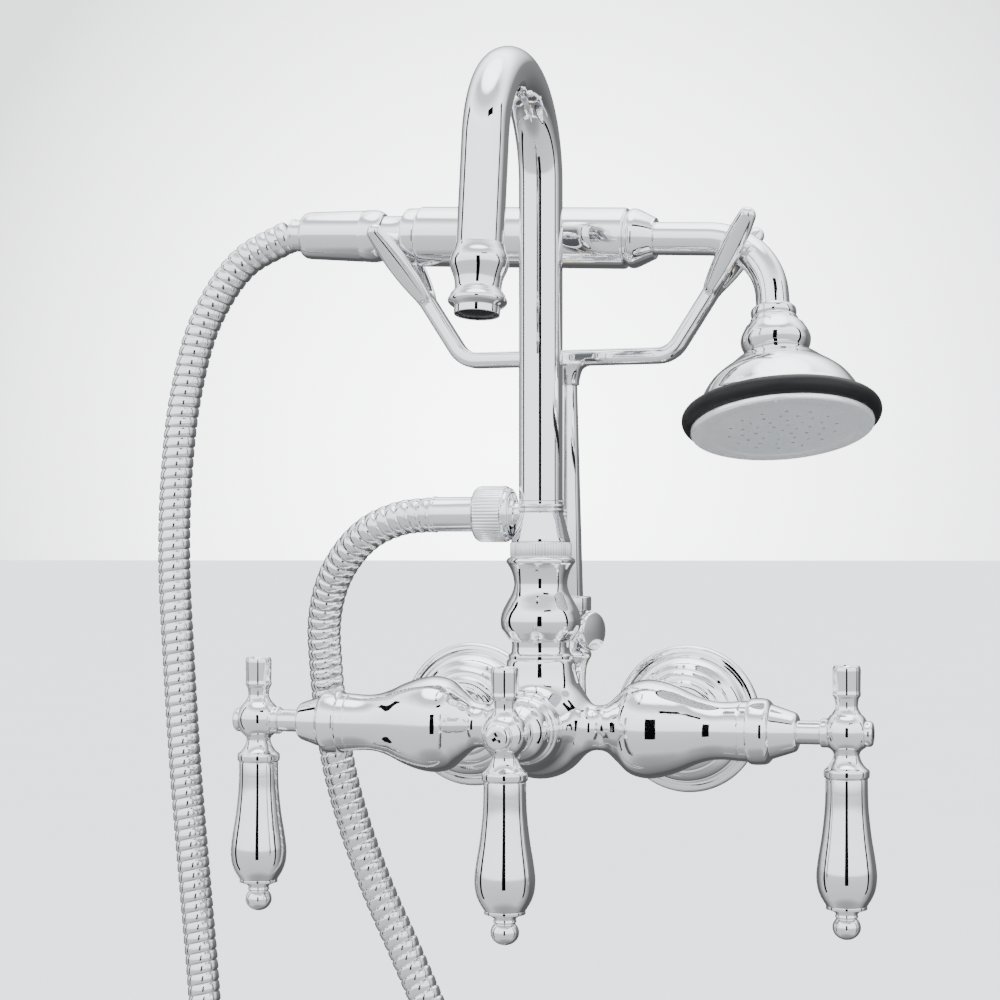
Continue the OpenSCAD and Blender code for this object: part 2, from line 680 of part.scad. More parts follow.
module handset_neck_tube() color(chrome_color) {
    outer = neck_tube_dia / 2;
    inner = outer - 1.5;
    at_handset() along_x() ring(outer + skin, inner - skin, 23.8, tube_straight_end + lap);
    at_handset() rotate([-head_lean, 0, 0]) translate([tube_straight_end, 0, -neck_bend_radius])
        bend(neck_bend_radius, outer, inner, 90 - neck_bend_angle, neck_bend_angle);
    at_head() mirror([0, 0, 1]) ring(outer + skin, inner - skin, -lap, 12.5);
}

module head_coupling() color(chrome_color) at_head() mirror([0, 0, 1]) difference() {
    turned([
        [0, 5.6], [7.7, 5.6], [8.3, 6.2], [8.3, 8.8], [7.9, 9.3], [8.7, 9.8], [8.9, 11.2], [9.6, 11.6],
        [10.3, 12.5], [0, 12.5]
    ]);
    translate([0, 0, 5]) cylinder(r = neck_tube_dia / 2 + skin, h = 8);
}

module head_bell() color(chrome_color) at_head() mirror([0, 0, 1]) turned([
    [4.7, 12.5], [10.3, 12.5], [11.2, 14.1], [12.1, 16], [12.8, 18], [12.2, 20.7], [11.2, 22.4],
    [11.2, 23], [15.2, 26], [18.4, 28.8], [21.6, 31.1], [24.8, 34], [27.2, 37.2], [28.6, 40],
    [30, 42.5], [31.3, 44.3], [31.3, 45.6], [29.6, 45.6], [28.2, 43.2], [26.8, 40.6], [25.3, 38],
    [23, 35.6], [20, 33], [16, 30], [12, 27], [8, 24.6], [4.7, 22]
]);

module head_rubber_ring() color(rubber_color) at_head() mirror([0, 0, 1]) turned([
    [31.3, 44.3], [33.4, 44.3], [35.2, 45.4], [head_dia / 2, 47.5], [35.2, 49.8], [33.4, 51], [31.3, 51]
]);

module spray_plate() color(plate_color) at_head() mirror([0, 0, 1]) turned([
    [0, 48.6], [29, 48.6], [29, 45.6], [31.3, 45.6], [31.3, 51], [32.9, 51], [32.9, 52.5], [32.3, 53],
    [26.8, 53.1], [26.2, 52.8], [0, 52.9]
]);

module handset_hose_sleeve() color(chrome_color) at_handset() along_x() difference() {
    union() {
        translate([0, 0, -90]) cylinder(r = 7.4, h = 2);
        translate([0, 0, -111.9]) cylinder(r = 6.4, h = 21.9);
    }
    translate([0, 0, -106]) cylinder(r = 4, h = 20);
}

module handset_hose_nut() color(chrome_color) at_handset() along_x() difference() {
    turned([
        [0, -106.8], [7.9, -106.8], [8.8, -105.8], [9.3, -103.6], [10.1, -78], [10, -75.6],
        [9.2, -73.9], [8.6, -73.2], [0, -73.2]
    ]);
    translate([0, 0, -90 - air]) cylinder(r = 7.5 + air, h = 20);
    translate([0, 0, -108]) cylinder(r = 6.4 + air, h = 30);
}

// ---- hose ----

handset_axis = [cos(handset_tilt), 0, -sin(handset_tilt)];

// Direction of the route at one of its points
function along(i) = let (
    before = hose_route[max(i - 1, 0)],
    after = hose_route[min(i + 1, len(hose_route) - 1)]
) (after - before) / norm(after - before);

// Points of the ring around one point of the route
function hose_ring(i) = let (
    tangent = i == 0 ? [-1, 0, 0] : i == len(hose_route) - 1 ? handset_axis : along(i),
    side = cross(tangent, [0, 1, 0]) / norm(cross(tangent, [0, 1, 0])),
    up = cross(side, tangent)
) [
    for (k = [0:hose_sides - 1])
        hose_route[i] + hose_dia / 2 * (cos(360 * k / hose_sides) * side + sin(360 * k / hose_sides) * up)
];

module shower_hose() color(steel_color) {
    last = len(hose_route) - 1;
    points = [for (i = [0:last]) each hose_ring(i)];
    walls = [
        for (i = [0:last - 1], k = [0:hose_sides - 1])
            let (next = (k + 1) % hose_sides, here = i * hose_sides, there = here + hose_sides)
                [here + k, there + k, there + next, here + next]
    ];
    start_cap = [for (k = [0:hose_sides - 1]) k];
    end_cap = [for (k = [hose_sides - 1:-1:0]) last * hose_sides + k];
    polyhedron(points, concat([start_cap, end_cap], walls));
}

valve_body();
hot_inlet_shank();
cold_inlet_shank();
hot_wall_flange();
cold_wall_flange();
wall_gaskets();
shank_washers();
shank_locknuts();
hot_bonnet();
cold_bonnet();
diverter_bonnet();
hot_cartridge();
cold_cartridge();
diverter_cartridge();
ceramic_seat_discs();
tower_column();
knurled_lock_ring();
outlet_collar();
collar_set_screw();
hose_outlet_nipple();
outlet_washer();
rear_pedestal();
pedestal_ring();
cradle_post();
cradle_fork();
shower_hose();
hose_outlet_sleeve();
hose_outlet_nut();
cradle_lock_knob();
hot_stem();
hot_handle_hub();
hot_handle_grip();
hot_handle_finial();
hot_handle_screw();
cold_stem();
cold_handle_hub();
cold_handle_grip();
cold_handle_finial();
cold_handle_screw();
diverter_stem();
diverter_handle_hub();
diverter_handle_grip();
diverter_handle_finial();
diverter_handle_screw();
spout_gooseneck();
spout_tail();
spout_seals();
spout_end_fitting();
spout_aerator();
handset_grip();
handset_end_ring();
handset_collar();
handset_neck_tube();
head_coupling();
head_bell();
head_rubber_ring();
spray_plate();
handset_hose_sleeve();
handset_hose_nut();
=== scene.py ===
import json
import math

import bmesh
import bpy
import numpy as np
from mathutils import Matrix, Vector


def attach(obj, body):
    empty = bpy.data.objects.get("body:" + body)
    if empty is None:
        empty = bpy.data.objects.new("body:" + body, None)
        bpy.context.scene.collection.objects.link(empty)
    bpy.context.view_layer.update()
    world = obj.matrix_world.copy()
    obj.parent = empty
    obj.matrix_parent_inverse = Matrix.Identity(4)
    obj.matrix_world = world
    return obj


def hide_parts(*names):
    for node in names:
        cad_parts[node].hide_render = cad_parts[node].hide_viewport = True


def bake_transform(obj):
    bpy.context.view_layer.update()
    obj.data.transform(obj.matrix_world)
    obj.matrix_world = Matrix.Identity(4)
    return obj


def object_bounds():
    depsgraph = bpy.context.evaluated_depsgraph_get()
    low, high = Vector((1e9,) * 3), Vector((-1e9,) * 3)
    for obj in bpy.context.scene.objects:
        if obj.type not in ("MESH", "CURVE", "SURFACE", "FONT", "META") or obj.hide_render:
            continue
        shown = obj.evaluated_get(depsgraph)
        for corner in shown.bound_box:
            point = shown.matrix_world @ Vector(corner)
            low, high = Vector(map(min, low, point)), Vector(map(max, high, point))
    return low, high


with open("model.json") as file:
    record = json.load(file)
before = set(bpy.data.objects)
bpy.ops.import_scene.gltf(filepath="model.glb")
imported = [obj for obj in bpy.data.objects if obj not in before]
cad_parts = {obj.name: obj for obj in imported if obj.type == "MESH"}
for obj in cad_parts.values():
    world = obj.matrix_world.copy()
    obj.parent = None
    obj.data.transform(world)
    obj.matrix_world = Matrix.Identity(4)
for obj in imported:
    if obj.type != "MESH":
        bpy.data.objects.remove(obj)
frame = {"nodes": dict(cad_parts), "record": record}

CAD_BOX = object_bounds()
MM = 0.001

# ---- sizes in millimetres and degrees, as the part's source gives them ----
# From the wall plane: X to the right, Y into the wall, Z up; heights are above the valve axis.

# valve body and its handles
INLET_X = 43
REACH = 57
BODY_END = 74
VALVE_SEAT = 56
HANDLE_X = 111
DIVERTER_FACE = 22
DIVERTER_SEAT = 8
DIVERTER_REACH = 45
HUB_BALL_R = 8.2
HUB_BALL_Z = 0.4
HUB_FLAT = 6.6
GRIP_START = -15.7
GRIP_END = -60

# wall fixing, along each shank from the wall
THREAD_PITCH = 1.814
THREAD_START = 6
SHANK_END = 40
GASKET_THICKNESS = 1.5

# tower and hose outlet
SET_SCREW_Z = 69.2
OUTLET_Z = 77.3
SLEEVE_END = 41
HOSE_DIA = 13
HOSE_PITCH = 4.1

# spout
TUBE_R = 8
BEND_RADIUS = 34
BEND_HEIGHT = 197
OUTLET_LEAN = 8.7
OUTLET_LEG = 61.3

# cradle, on its post behind the riser
POST_OFFSET = 36
LOCK_HEIGHT = 33.7
LOCK_HEADING = 22
BAR_HEIGHT = 137
BAR_HALF = 40.7
BAR_THICKNESS = 6
BAR_DEPTH = 8
BAR_EDGE = 2.2
BEND_MIDDLE = 10
ARM_SLOPE = 33
PRONG_LEAN = 23.1
PRONG_LENGTHS = (37.8, 33.6)
PRONG_WIDTH = 8.8
PRONG_THICKNESS = 5.4
FORK_BASE = (55, 0, 159.5)

# hand shower
HANDSET_HEIGHT = 182.6
HANDSET_TILT = 2.86
NECK_START = 55
NECK_BEND_RADIUS = 26
NECK_BEND = 80.5
NECK_TUBE_R = 6.2
HEAD_LEAN = 15.6

HOSE_ROUTE = [
    (-SLEEVE_END, -REACH, OUTLET_Z), (-54, -56, 76), (-67, -54, 71), (-78, -50, 62), (-86, -45, 51),
    (-91, -40, 37), (-92, -36, 20), (-91, -33, 0), (-88, -32, -20), (-82, -31, -42), (-73, -30, -66),
    (-62, -29, -90), (-49, -29, -118), (-36, -28, -150), (-25, -28, -184), (-17, -27, -220),
    (-13, -27, -258), (-12, -26, -296), (-14, -26, -338), (-23, -25, -373), (-46, -24, -397),
    (-79, -23, -406), (-112, -22, -397), (-135, -21, -373), (-144, -21, -340), (-146, -21, -304),
    (-147, -21, -266), (-147, -21, -228), (-147, -21, -190), (-148, -21, -152), (-150, -21, -112),
    (-154, -21, -68), (-158, -21, -24), (-161, -21, 20), (-163, -21, 60), (-162, -21, 94),
    (-158, -21, 126), (-149, -21, 156), (-133, -21, 178), (-112.8, -21, 188.2),
]


# ---- places ----

def shift(x, y, z):
    return Matrix.Translation((x * MM, y * MM, z * MM))


def turn(axis, degrees):
    return Matrix.Rotation(math.radians(degrees), 4, axis)


VALVES = shift(0, -REACH, 0)
ALONG_X = turn("Y", 90)
ALONG_LEFT = turn("Y", -90)
FORWARD = turn("X", 90)
BACKWARD = turn("X", -90)
POST = shift(0, POST_OFFSET - REACH, 0)
OUTLET = VALVES @ shift(0, 0, OUTLET_Z) @ ALONG_LEFT
SET_SCREW = VALVES @ shift(0, 0, SET_SCREW_Z) @ turn("Z", -30) @ ALONG_X
LOCK = POST @ shift(0, 0, LOCK_HEIGHT) @ turn("Z", -LOCK_HEADING) @ ALONG_X
SPOUT = VALVES @ turn("Z", -90)
LEG_TOP = (
    BEND_RADIUS * (1 + math.cos(math.radians(OUTLET_LEAN))),
    BEND_HEIGHT + BEND_RADIUS * math.sin(math.radians(OUTLET_LEAN)),
)
LEG = SPOUT @ shift(LEG_TOP[0], 0, LEG_TOP[1]) @ turn("Y", 180 - OUTLET_LEAN)
HANDSET = POST @ shift(0, 0, HANDSET_HEIGHT) @ turn("Y", HANDSET_TILT)
NECK_END = (
    NECK_START + NECK_BEND_RADIUS * math.sin(math.radians(NECK_BEND)),
    -NECK_BEND_RADIUS * (1 - math.cos(math.radians(NECK_BEND))),
)
HEAD = (
    HANDSET @ turn("X", -HEAD_LEAN) @ shift(NECK_END[0], 0, NECK_END[1])
    @ turn("Y", NECK_BEND + 90)
)


# ---- camera ----

CAMERA_AZIMUTH = 17
CAMERA_PLACE = (0.2206, -0.8293, 0.0616)
CAMERA_LENS = 79.5
CAMERA_SHIFT = 0.057


def make_camera():
    data = bpy.data.cameras.new("Camera")
    data.lens = CAMERA_LENS
    data.sensor_width = 36
    data.shift_y = CAMERA_SHIFT
    data.clip_start = 0.01
    data.clip_end = 1000
    camera = link_object("Camera", data)
    camera.location = CAMERA_PLACE
    camera.rotation_euler = (math.radians(90), 0, math.radians(CAMERA_AZIMUTH))
    bpy.context.scene.camera = camera


# ---- materials ----

def material(name, color, metallic, roughness, grain, grain_size, bump, shine=0.5):
    """A shader with fine variation in its roughness and relief; grain_size is in metres."""
    made = bpy.data.materials.new(name)
    made.use_nodes = True
    nodes = made.node_tree.nodes
    links = made.node_tree.links
    shader = nodes["Principled BSDF"]
    shader.inputs["Metallic"].default_value = metallic
    shader.inputs["Specular IOR Level"].default_value = shine
    place = nodes.new("ShaderNodeTexCoord")
    fine = nodes.new("ShaderNodeTexNoise")
    fine.inputs["Scale"].default_value = 1 / grain_size
    fine.inputs["Detail"].default_value = 3
    links.new(place.outputs["Object"], fine.inputs["Vector"])
    broad = nodes.new("ShaderNodeTexNoise")
    broad.inputs["Scale"].default_value = 0.12 / grain_size
    broad.inputs["Detail"].default_value = 2
    links.new(place.outputs["Object"], broad.inputs["Vector"])
    spread = nodes.new("ShaderNodeMapRange")
    spread.inputs["To Min"].default_value = max(roughness - grain, 0)
    spread.inputs["To Max"].default_value = roughness + grain
    links.new(broad.outputs["Fac"], spread.inputs["Value"])
    links.new(spread.outputs["Result"], shader.inputs["Roughness"])
    tint = nodes.new("ShaderNodeMix")
    tint.data_type = "RGBA"
    tint.inputs["A"].default_value = (*[c * 0.95 for c in color], 1)
    tint.inputs["B"].default_value = (*color, 1)
    links.new(broad.outputs["Fac"], tint.inputs["Factor"])
    links.new(tint.outputs["Result"], shader.inputs["Base Color"])
    relief = nodes.new("ShaderNodeBump")
    relief.inputs["Strength"].default_value = bump
    relief.inputs["Distance"].default_value = grain_size * 0.1
    links.new(fine.outputs["Fac"], relief.inputs["Height"])
    links.new(relief.outputs["Normal"], shader.inputs["Normal"])
    return made


def make_materials():
    return {
        "chrome": material("Chrome", (0.86, 0.87, 0.885), 1, 0.035, 0.012, 0.004, 0.012),
        "hose": material("Hose_chrome", (0.8, 0.81, 0.825), 1, 0.11, 0.03, 0.002, 0.03),
        "brass": material("Brass", (0.78, 0.56, 0.26), 1, 0.26, 0.06, 0.0015, 0.1),
        "steel": material("Steel", (0.56, 0.57, 0.58), 1, 0.3, 0.06, 0.001, 0.1),
        "rubber": material("Rubber", (0.005, 0.005, 0.006), 0, 0.4, 0.08, 0.0012, 0.15,
                           shine=0.25),
        "dark_plastic": material("Dark_plastic", (0.02, 0.02, 0.022), 0, 0.5, 0.08, 0.001, 0.1,
                                 shine=0.3),
        "ceramic": material("Ceramic", (0.88, 0.87, 0.83), 0, 0.15, 0.03, 0.001, 0.03),
        "face_plate": material("Face_plate", (0.8, 0.82, 0.84), 0.7, 0.26, 0.03, 0.0008, 0.04),
    }


# ---- meshes ----

def as_mesh(name, build):
    mesh = bpy.data.meshes.new(name)
    build.to_mesh(mesh)
    build.free()
    return mesh


def link_object(name, data):
    made = bpy.data.objects.new(name, data)
    bpy.context.scene.collection.objects.link(made)
    return made


def finish_piece(name, mesh, place, node, slot, body, sharp=32):
    """Puts a mesh in the frame, gives it its material and lets it stand for its CAD node."""
    mesh.transform(place)
    if place.determinant() < 0:
        mesh.flip_normals()
    for polygon in mesh.polygons:
        polygon.use_smooth = True
    mesh.set_sharp_from_angle(angle=math.radians(sharp))
    piece = link_object(name, mesh)
    mesh.materials.append(MATERIALS[slot])
    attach(piece, body)
    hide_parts(node)
    return piece


def curve(points, step=0.5):
    """Points along a smooth curve through the given ones, about a step apart."""
    guide = [np.array(p, float) for p in points]
    ends = [2 * guide[0] - guide[1], *guide, 2 * guide[-1] - guide[-2]]
    result = []
    for before, start, end, after in zip(ends, ends[1:], ends[2:], ends[3:]):
        count = max(2, int(math.ceil(np.linalg.norm(end - start) / step)))
        gaps = [max(np.linalg.norm(q - p), 1e-6) ** 0.5 for p, q in
                ((before, start), (start, end), (end, after))]
        lead = gaps[1] * ((start - before) / gaps[0] - (end - before) / (gaps[0] + gaps[1])
                          + (end - start) / gaps[1])
        trail = gaps[1] * ((end - start) / gaps[1] - (after - start) / (gaps[1] + gaps[2])
                           + (after - end) / gaps[2])
        for t in np.arange(count) / count:
            result.append(
                (2 * t**3 - 3 * t**2 + 1) * start + (t**3 - 2 * t**2 + t) * lead
                + (3 * t**2 - 2 * t**3) * end + (t**3 - t**2) * trail
            )
    result.append(guide[-1])
    return [tuple(p) for p in result]


def soften(outline, radius, closed):
    """The outline with each corner of more than 20 degrees rounded off."""
    points = [np.array(p, float) for p in outline]
    count = len(points)
    result = []
    for i, corner in enumerate(points):
        if not closed and i in (0, count - 1):
            result.append(corner)
            continue
        back = points[i - 1] - corner
        ahead = points[(i + 1) % count] - corner
        back_len = np.linalg.norm(back)
        ahead_len = np.linalg.norm(ahead)
        if back_len < 1e-6 or ahead_len < 1e-6:
            continue
        cosine = np.clip(-(back @ ahead) / back_len / ahead_len, -1, 1)
        bend = math.acos(cosine)
        if bend < math.radians(20):
            result.append(corner)
            continue
        trim = min(radius * math.tan(bend / 2), 0.45 * back_len, 0.45 * ahead_len)
        start = corner + back / back_len * trim
        end = corner + ahead / ahead_len * trim
        for t in (0, 0.25, 0.5, 0.75, 1):
            result.append((1 - t) ** 2 * start + 2 * t * (1 - t) * corner + t**2 * end)
    return result


def lathe_mesh(name, outline, closed=False, radius=0.3, steps=120, shape=None):
    """A mesh turned about Z from (radius, height) points; shape changes a radius around it."""
    points = soften(outline, radius, closed)
    build = bmesh.new()
    rows = []
    for r, z in points:
        if r < 1e-6:
            rows.append([build.verts.new((0, 0, z * MM))])
            continue
        row = []
        for k in range(steps):
            angle = 2 * math.pi * k / steps
            here = shape(angle, r, z) if shape else r
            row.append(build.verts.new((
                here * MM * math.cos(angle), here * MM * math.sin(angle), z * MM,
            )))
        rows.append(row)
    pairs = list(zip(rows, rows[1:]))
    if closed:
        pairs.append((rows[-1], rows[0]))
    for low, high in pairs:
        for k in range(steps):
            following = (k + 1) % steps
            if len(low) == 1 and len(high) == 1:
                continue
            if len(low) == 1:
                build.faces.new((low[0], high[following], high[k]))
            elif len(high) == 1:
                build.faces.new((low[k], low[following], high[0]))
            else:
                build.faces.new((low[k], low[following], high[following], high[k]))
    bmesh.ops.recalc_face_normals(build, faces=build.faces)
    return as_mesh(name, build)


def lathe(name, outline, place, node, slot, body, **options):
    return finish_piece(name, lathe_mesh(name, outline, **options), place, node, slot, body)


def flutes(count, depth, low, high):
    """A shape that cuts rounded grooves between two heights."""
    def shape(angle, r, z):
        if not low < z < high:
            return r
        wave = abs(math.sin(angle * count / 2))
        return r - depth * (1 - wave) ** 1.5
    return shape


def hexagon(across):
    """A shape that cuts a round outline down to six flats."""
    def shape(angle, r, z):
        side = (math.degrees(angle) + 30) % 60 - 30
        return min(r, across / 2 / math.cos(math.radians(side)))
    return shape


def tube_mesh(name, path, radii, sides):
    """A tube along a path in metres, with a radius at each point and closed ends."""
    path = np.array(path)
    tangents = np.gradient(path, axis=0)
    tangents /= np.linalg.norm(tangents, axis=1)[:, None]
    side = np.cross(tangents[0], (0, 1, 0))
    if np.linalg.norm(side) < 0.1:
        side = np.cross(tangents[0], (1, 0, 0))
    side /= np.linalg.norm(side)
    angles = 2 * math.pi * np.arange(sides) / sides
    verts = []
    for point, tangent, radius in zip(path, tangents, radii):
        side = side - tangent * (side @ tangent)
        side /= np.linalg.norm(side)
        up = np.cross(tangent, side)
        verts.extend(point + radius * (math.cos(a) * side + math.sin(a) * up) for a in angles)
    faces = []
    for i in range(len(path) - 1):
        for k in range(sides):
            following = (k + 1) % sides
            faces.append((i * sides + k, i * sides + following,
                          (i + 1) * sides + following, (i + 1) * sides + k))
    last = (len(path) - 1) * sides
    faces.append(tuple(reversed(range(sides))))
    faces.append(tuple(last + k for k in range(sides)))
    mesh = bpy.data.meshes.new(name)
    mesh.from_pydata([tuple(v) for v in verts], [], faces)
    mesh.validate()
    return mesh


def arc(centre, radius, start, end, count):
    """Points of an arc in the XZ plane, in millimetres, between two angles in degrees."""
    return [
        (centre[0] + radius * math.cos(math.radians(a)), 0,
         centre[1] + radius * math.sin(math.radians(a)))
        for a in np.linspace(start, end, count)
    ]


def cut(mesh, cutter):
    """The mesh with the cutter's volume taken away."""
    whole = link_object("whole", mesh)
    tool = link_object("tool", cutter)
    modifier = whole.modifiers.new("cut", "BOOLEAN")
    modifier.operation = "DIFFERENCE"
    modifier.solver = "EXACT"
    modifier.object = tool
    bpy.context.view_layer.update()
    ready = whole.evaluated_get(bpy.context.evaluated_depsgraph_get())
    result = bpy.data.meshes.new_from_object(ready)
    for item in (whole, tool):
        bpy.data.objects.remove(item)
    return result


def pierced(mesh, rings, height, radii, depth):
    """The mesh with round holes along Z around a height, in rings of (radius, count)."""
    holes = bmesh.new()
    for ring_radius, count in rings:
        for k in range(count):
            angle = 2 * math.pi * k / count
            spot = Matrix.Translation((ring_radius * MM * math.cos(angle),
                                       ring_radius * MM * math.sin(angle), height * MM))
            bmesh.ops.create_cone(holes, cap_ends=True, segments=12, radius1=radii[0] * MM,
                                  radius2=radii[1] * MM, depth=depth * MM, matrix=spot)
    return cut(mesh, as_mesh("holes", holes))


# ---- cast shapes, as fields that are negative inside, in millimetres ----

def smooth_join(first, second, blend):
    """The union of two fields with a fillet about as wide as blend."""
    mix = np.clip(0.5 + 0.5 * (second - first) / blend, 0, 1)
    return second * (1 - mix) + first * mix - blend * mix * (1 - mix)


def turned_field(points, axis, outline):
    """A field turned about an axis: outline gives (radius, distance along the axis)."""
    table = np.array(outline, float)
    along = points @ np.array(axis, float)
    radial = np.sqrt(np.maximum((points**2).sum(1) - along**2, 0))
    reach = np.interp(along, table[:, 1], table[:, 0])
    slope = np.interp(along, table[:, 1], np.gradient(table[:, 0], table[:, 1]))
    walls = (radial - reach) / np.sqrt(1 + slope**2)
    ends = np.maximum(table[0, 1] - along, along - table[-1, 1])
    return np.maximum(walls, ends)


def plate_field(points, start, end, width, thickness, edge, normal):
    """A flat bar with round ends between two points, its edges rounded."""
    start = np.array(start, float)
    end = np.array(end, float)
    normal = np.array(normal, float)
    length = np.linalg.norm(end - start)
    line = (end - start) / length
    normal = normal - line * (normal @ line)
    normal /= np.linalg.norm(normal)
    away = points - start
    along = np.clip(away @ line, 0, length)
    out = away @ normal
    across = np.cross(line, normal)
    in_plane = np.sqrt((away @ line - along) ** 2 + (away @ across) ** 2) - (width / 2 - edge)
    off_plane = np.abs(out) - (thickness / 2 - edge)
    outside = np.sqrt(np.maximum(in_plane, 0) ** 2 + np.maximum(off_plane, 0) ** 2)
    return np.minimum(np.maximum(in_plane, off_plane), 0) + outside - edge


def blob_mesh(name, field, low, high, cell):
    """A smooth mesh of a field's surface, one vertex in each cell that the surface crosses."""
    axes = [np.arange(low[i], high[i] + cell, cell) for i in range(3)]
    shape = [len(a) for a in axes]
    grid = np.stack(np.meshgrid(*axes, indexing="ij"), -1).reshape(-1, 3)
    values = np.concatenate([field(part) for part in np.array_split(grid, 40)]).reshape(shape)
    inside = values < 0
    total = np.zeros([n - 1 for n in shape] + [3])
    count = np.zeros([n - 1 for n in shape])
    quads = []
    cell_ids = np.arange(count.size).reshape(count.shape)
    for axis in range(3):
        head = [slice(None)] * 3
        tail = [slice(None)] * 3
        head[axis] = slice(0, -1)
        tail[axis] = slice(1, None)
        crossing = inside[tuple(head)] != inside[tuple(tail)]
        where = np.argwhere(crossing)
        first = values[tuple(head)][crossing]
        second = values[tuple(tail)][crossing]
        spot = where.astype(float)
        spot[:, axis] += first / (first - second)
        others = [a for a in range(3) if a != axis]
        good = np.ones(len(where), bool)
        corners = []
        for step_a, step_b in ((0, 0), (-1, 0), (-1, -1), (0, -1)):
            index = where.copy()
            index[:, others[0]] += step_a
            index[:, others[1]] += step_b
            ok = ((index >= 0) & (index < np.array(count.shape))).all(1)
            good &= ok
            safe = np.clip(index, 0, np.array(count.shape) - 1)
            np.add.at(total, tuple(safe[ok].T), spot[ok])
            np.add.at(count, tuple(safe[ok].T), 1)
            corners.append(cell_ids[tuple(safe.T)])
        loop = np.stack(corners, 1)[good]
        flip = (first < 0)[good] ^ (axis == 1)
        loop[flip] = loop[flip][:, ::-1]
        quads.append(loop)
    used = count > 0
    number = np.full(count.shape, -1)
    number[used] = np.arange(used.sum())
    places = total[used] / count[used][:, None] * cell + np.array(low)
    for _ in range(4):
        value = field(places)
        slope = gradient(field, places)
        steepness = np.maximum((slope**2).sum(1), 0.05)
        move = -(value / steepness)[:, None] * slope
        size = np.linalg.norm(move, axis=1)
        move *= np.minimum(1, 0.5 * cell / np.maximum(size, 1e-9))[:, None]
        places = places + move
    faces = number.reshape(-1)[np.concatenate(quads)]
    mesh = bpy.data.meshes.new(name)
    mesh.from_pydata((places * MM).tolist(), [], faces.tolist())
    mesh.validate()
    build = bmesh.new()
    build.from_mesh(mesh)
    bmesh.ops.recalc_face_normals(build, faces=build.faces)
    build.to_mesh(mesh)
    build.free()
    return mesh


def gradient(field, points, reach=0.05):
    """The field's slope along X, Y and Z at each point."""
    slope = np.zeros_like(points)
    for axis in range(3):
        nudge = np.zeros(3)
        nudge[axis] = reach
        slope[:, axis] = (field(points + nudge) - field(points - nudge)) / (2 * reach)
    return slope


def blob(name, field, low, high, cell, place, node, slot, body, sharp=50):
    mesh = blob_mesh(name, field, low, high, cell)
    return finish_piece(name, mesh, place, node, slot, body, sharp)


# ---- valve body and wall fixing ----

def body_field(points):
    half_arm = curve([
        (7.6, 0), (8, 21), (8.8, 25), (12.5, 29.5), (16.3, 34), (17.7, 39.5), (17.1, 45), (14.9, 52),
        (12.2, 58), (10.7, 63), (10.3, 67.5), (10.5, 71), (10.7, BODY_END), (10.7, BODY_END + 0.6),
    ])
    outline = [(r, -x) for r, x in reversed(half_arm[1:])] + half_arm
    result = turned_field(points, (1, 0, 0), outline)
    globe = np.sqrt((points**2).sum(1)) - 19
    result = smooth_join(result, globe, 5)
    boss = curve([
        (15, -4), (17.6, 4), (17.2, 9), (14.6, 14.5), (13, 20), (12.4, 24), (11.9, 24.6), (11, 25),
    ])
    result = smooth_join(result, turned_field(points, (0, 0, 1), boss), 3)
    front = curve([(13.5, -1), (13.7, 14), (12.6, 18), (12.2, 21.6), (11.7, 22.2), (11, 22.6)])
    result = smooth_join(result, turned_field(points, (0, -1, 0), front), 2.5)
    rear = [(10, -1), (10, 17), (9.6, 22)]
    result = smooth_join(result, turned_field(points, (0, 1, 0), rear), 3)
    neck = curve([(15, -1), (15.2, 7), (14, 14), (13, 21), (13, 48.9)])
    mirrored = points.copy()
    mirrored[:, 0] = np.abs(mirrored[:, 0]) - INLET_X
    return smooth_join(result, turned_field(mirrored, (0, 1, 0), neck), 3)


FLANGE = [
    (13.05, 12.8), (17, 12), (21, 9), (23.5, 3.5), (23.8, 0), (27.4, 0),
    *curve([(28, 1.2), (28, 2.7), (27.2, 4), (25.6, 4.5)]), (24.6, 4.2), (24.1, 4.4),
    *curve([(23.9, 5), (23.2, 8), (21.6, 10.4), (19.6, 12)]), (19, 12), (18.6, 12.6),
    *curve([(18.4, 12.8), (17.2, 13.7), (16, 14.2)]),
    (15.4, 14.2), (15, 15), (14.2, 15.6), (13.05, 15.6),
]


def make_wall_fixing():
    blob("Valve_body", body_field, (-76, -24, -22), (76, 52, 27), 0.9, VALVES,
         "valve_body", "chrome", "root")
    for side, name in ((-1, "hot"), (1, "cold")):
        centre = shift(side * INLET_X, 0, 0)
        lathe(f"{name}_flange", FLANGE, centre @ shift(0, -GASKET_THICKNESS, 0) @ FORWARD,
              f"{name}_wall_flange", "chrome", "root", closed=True)
        thread = [(7, -22), (10.2, -22), (10.4, -21.4), (10.4, THREAD_START)]
        for i in range(int((SHANK_END - THREAD_START) / THREAD_PITCH)):
            z = THREAD_START + i * THREAD_PITCH
            thread += [(r, z + part * THREAD_PITCH) for r, part in
                       ((9.7, 0.35), (10.45, 0.8), (10.45, 0.95))]
        thread += [(9.4, SHANK_END), (7, SHANK_END)]
        lathe(f"{name}_shank", thread, centre @ BACKWARD, f"{name}_inlet_shank", "brass", "root",
              closed=True, radius=0.12)


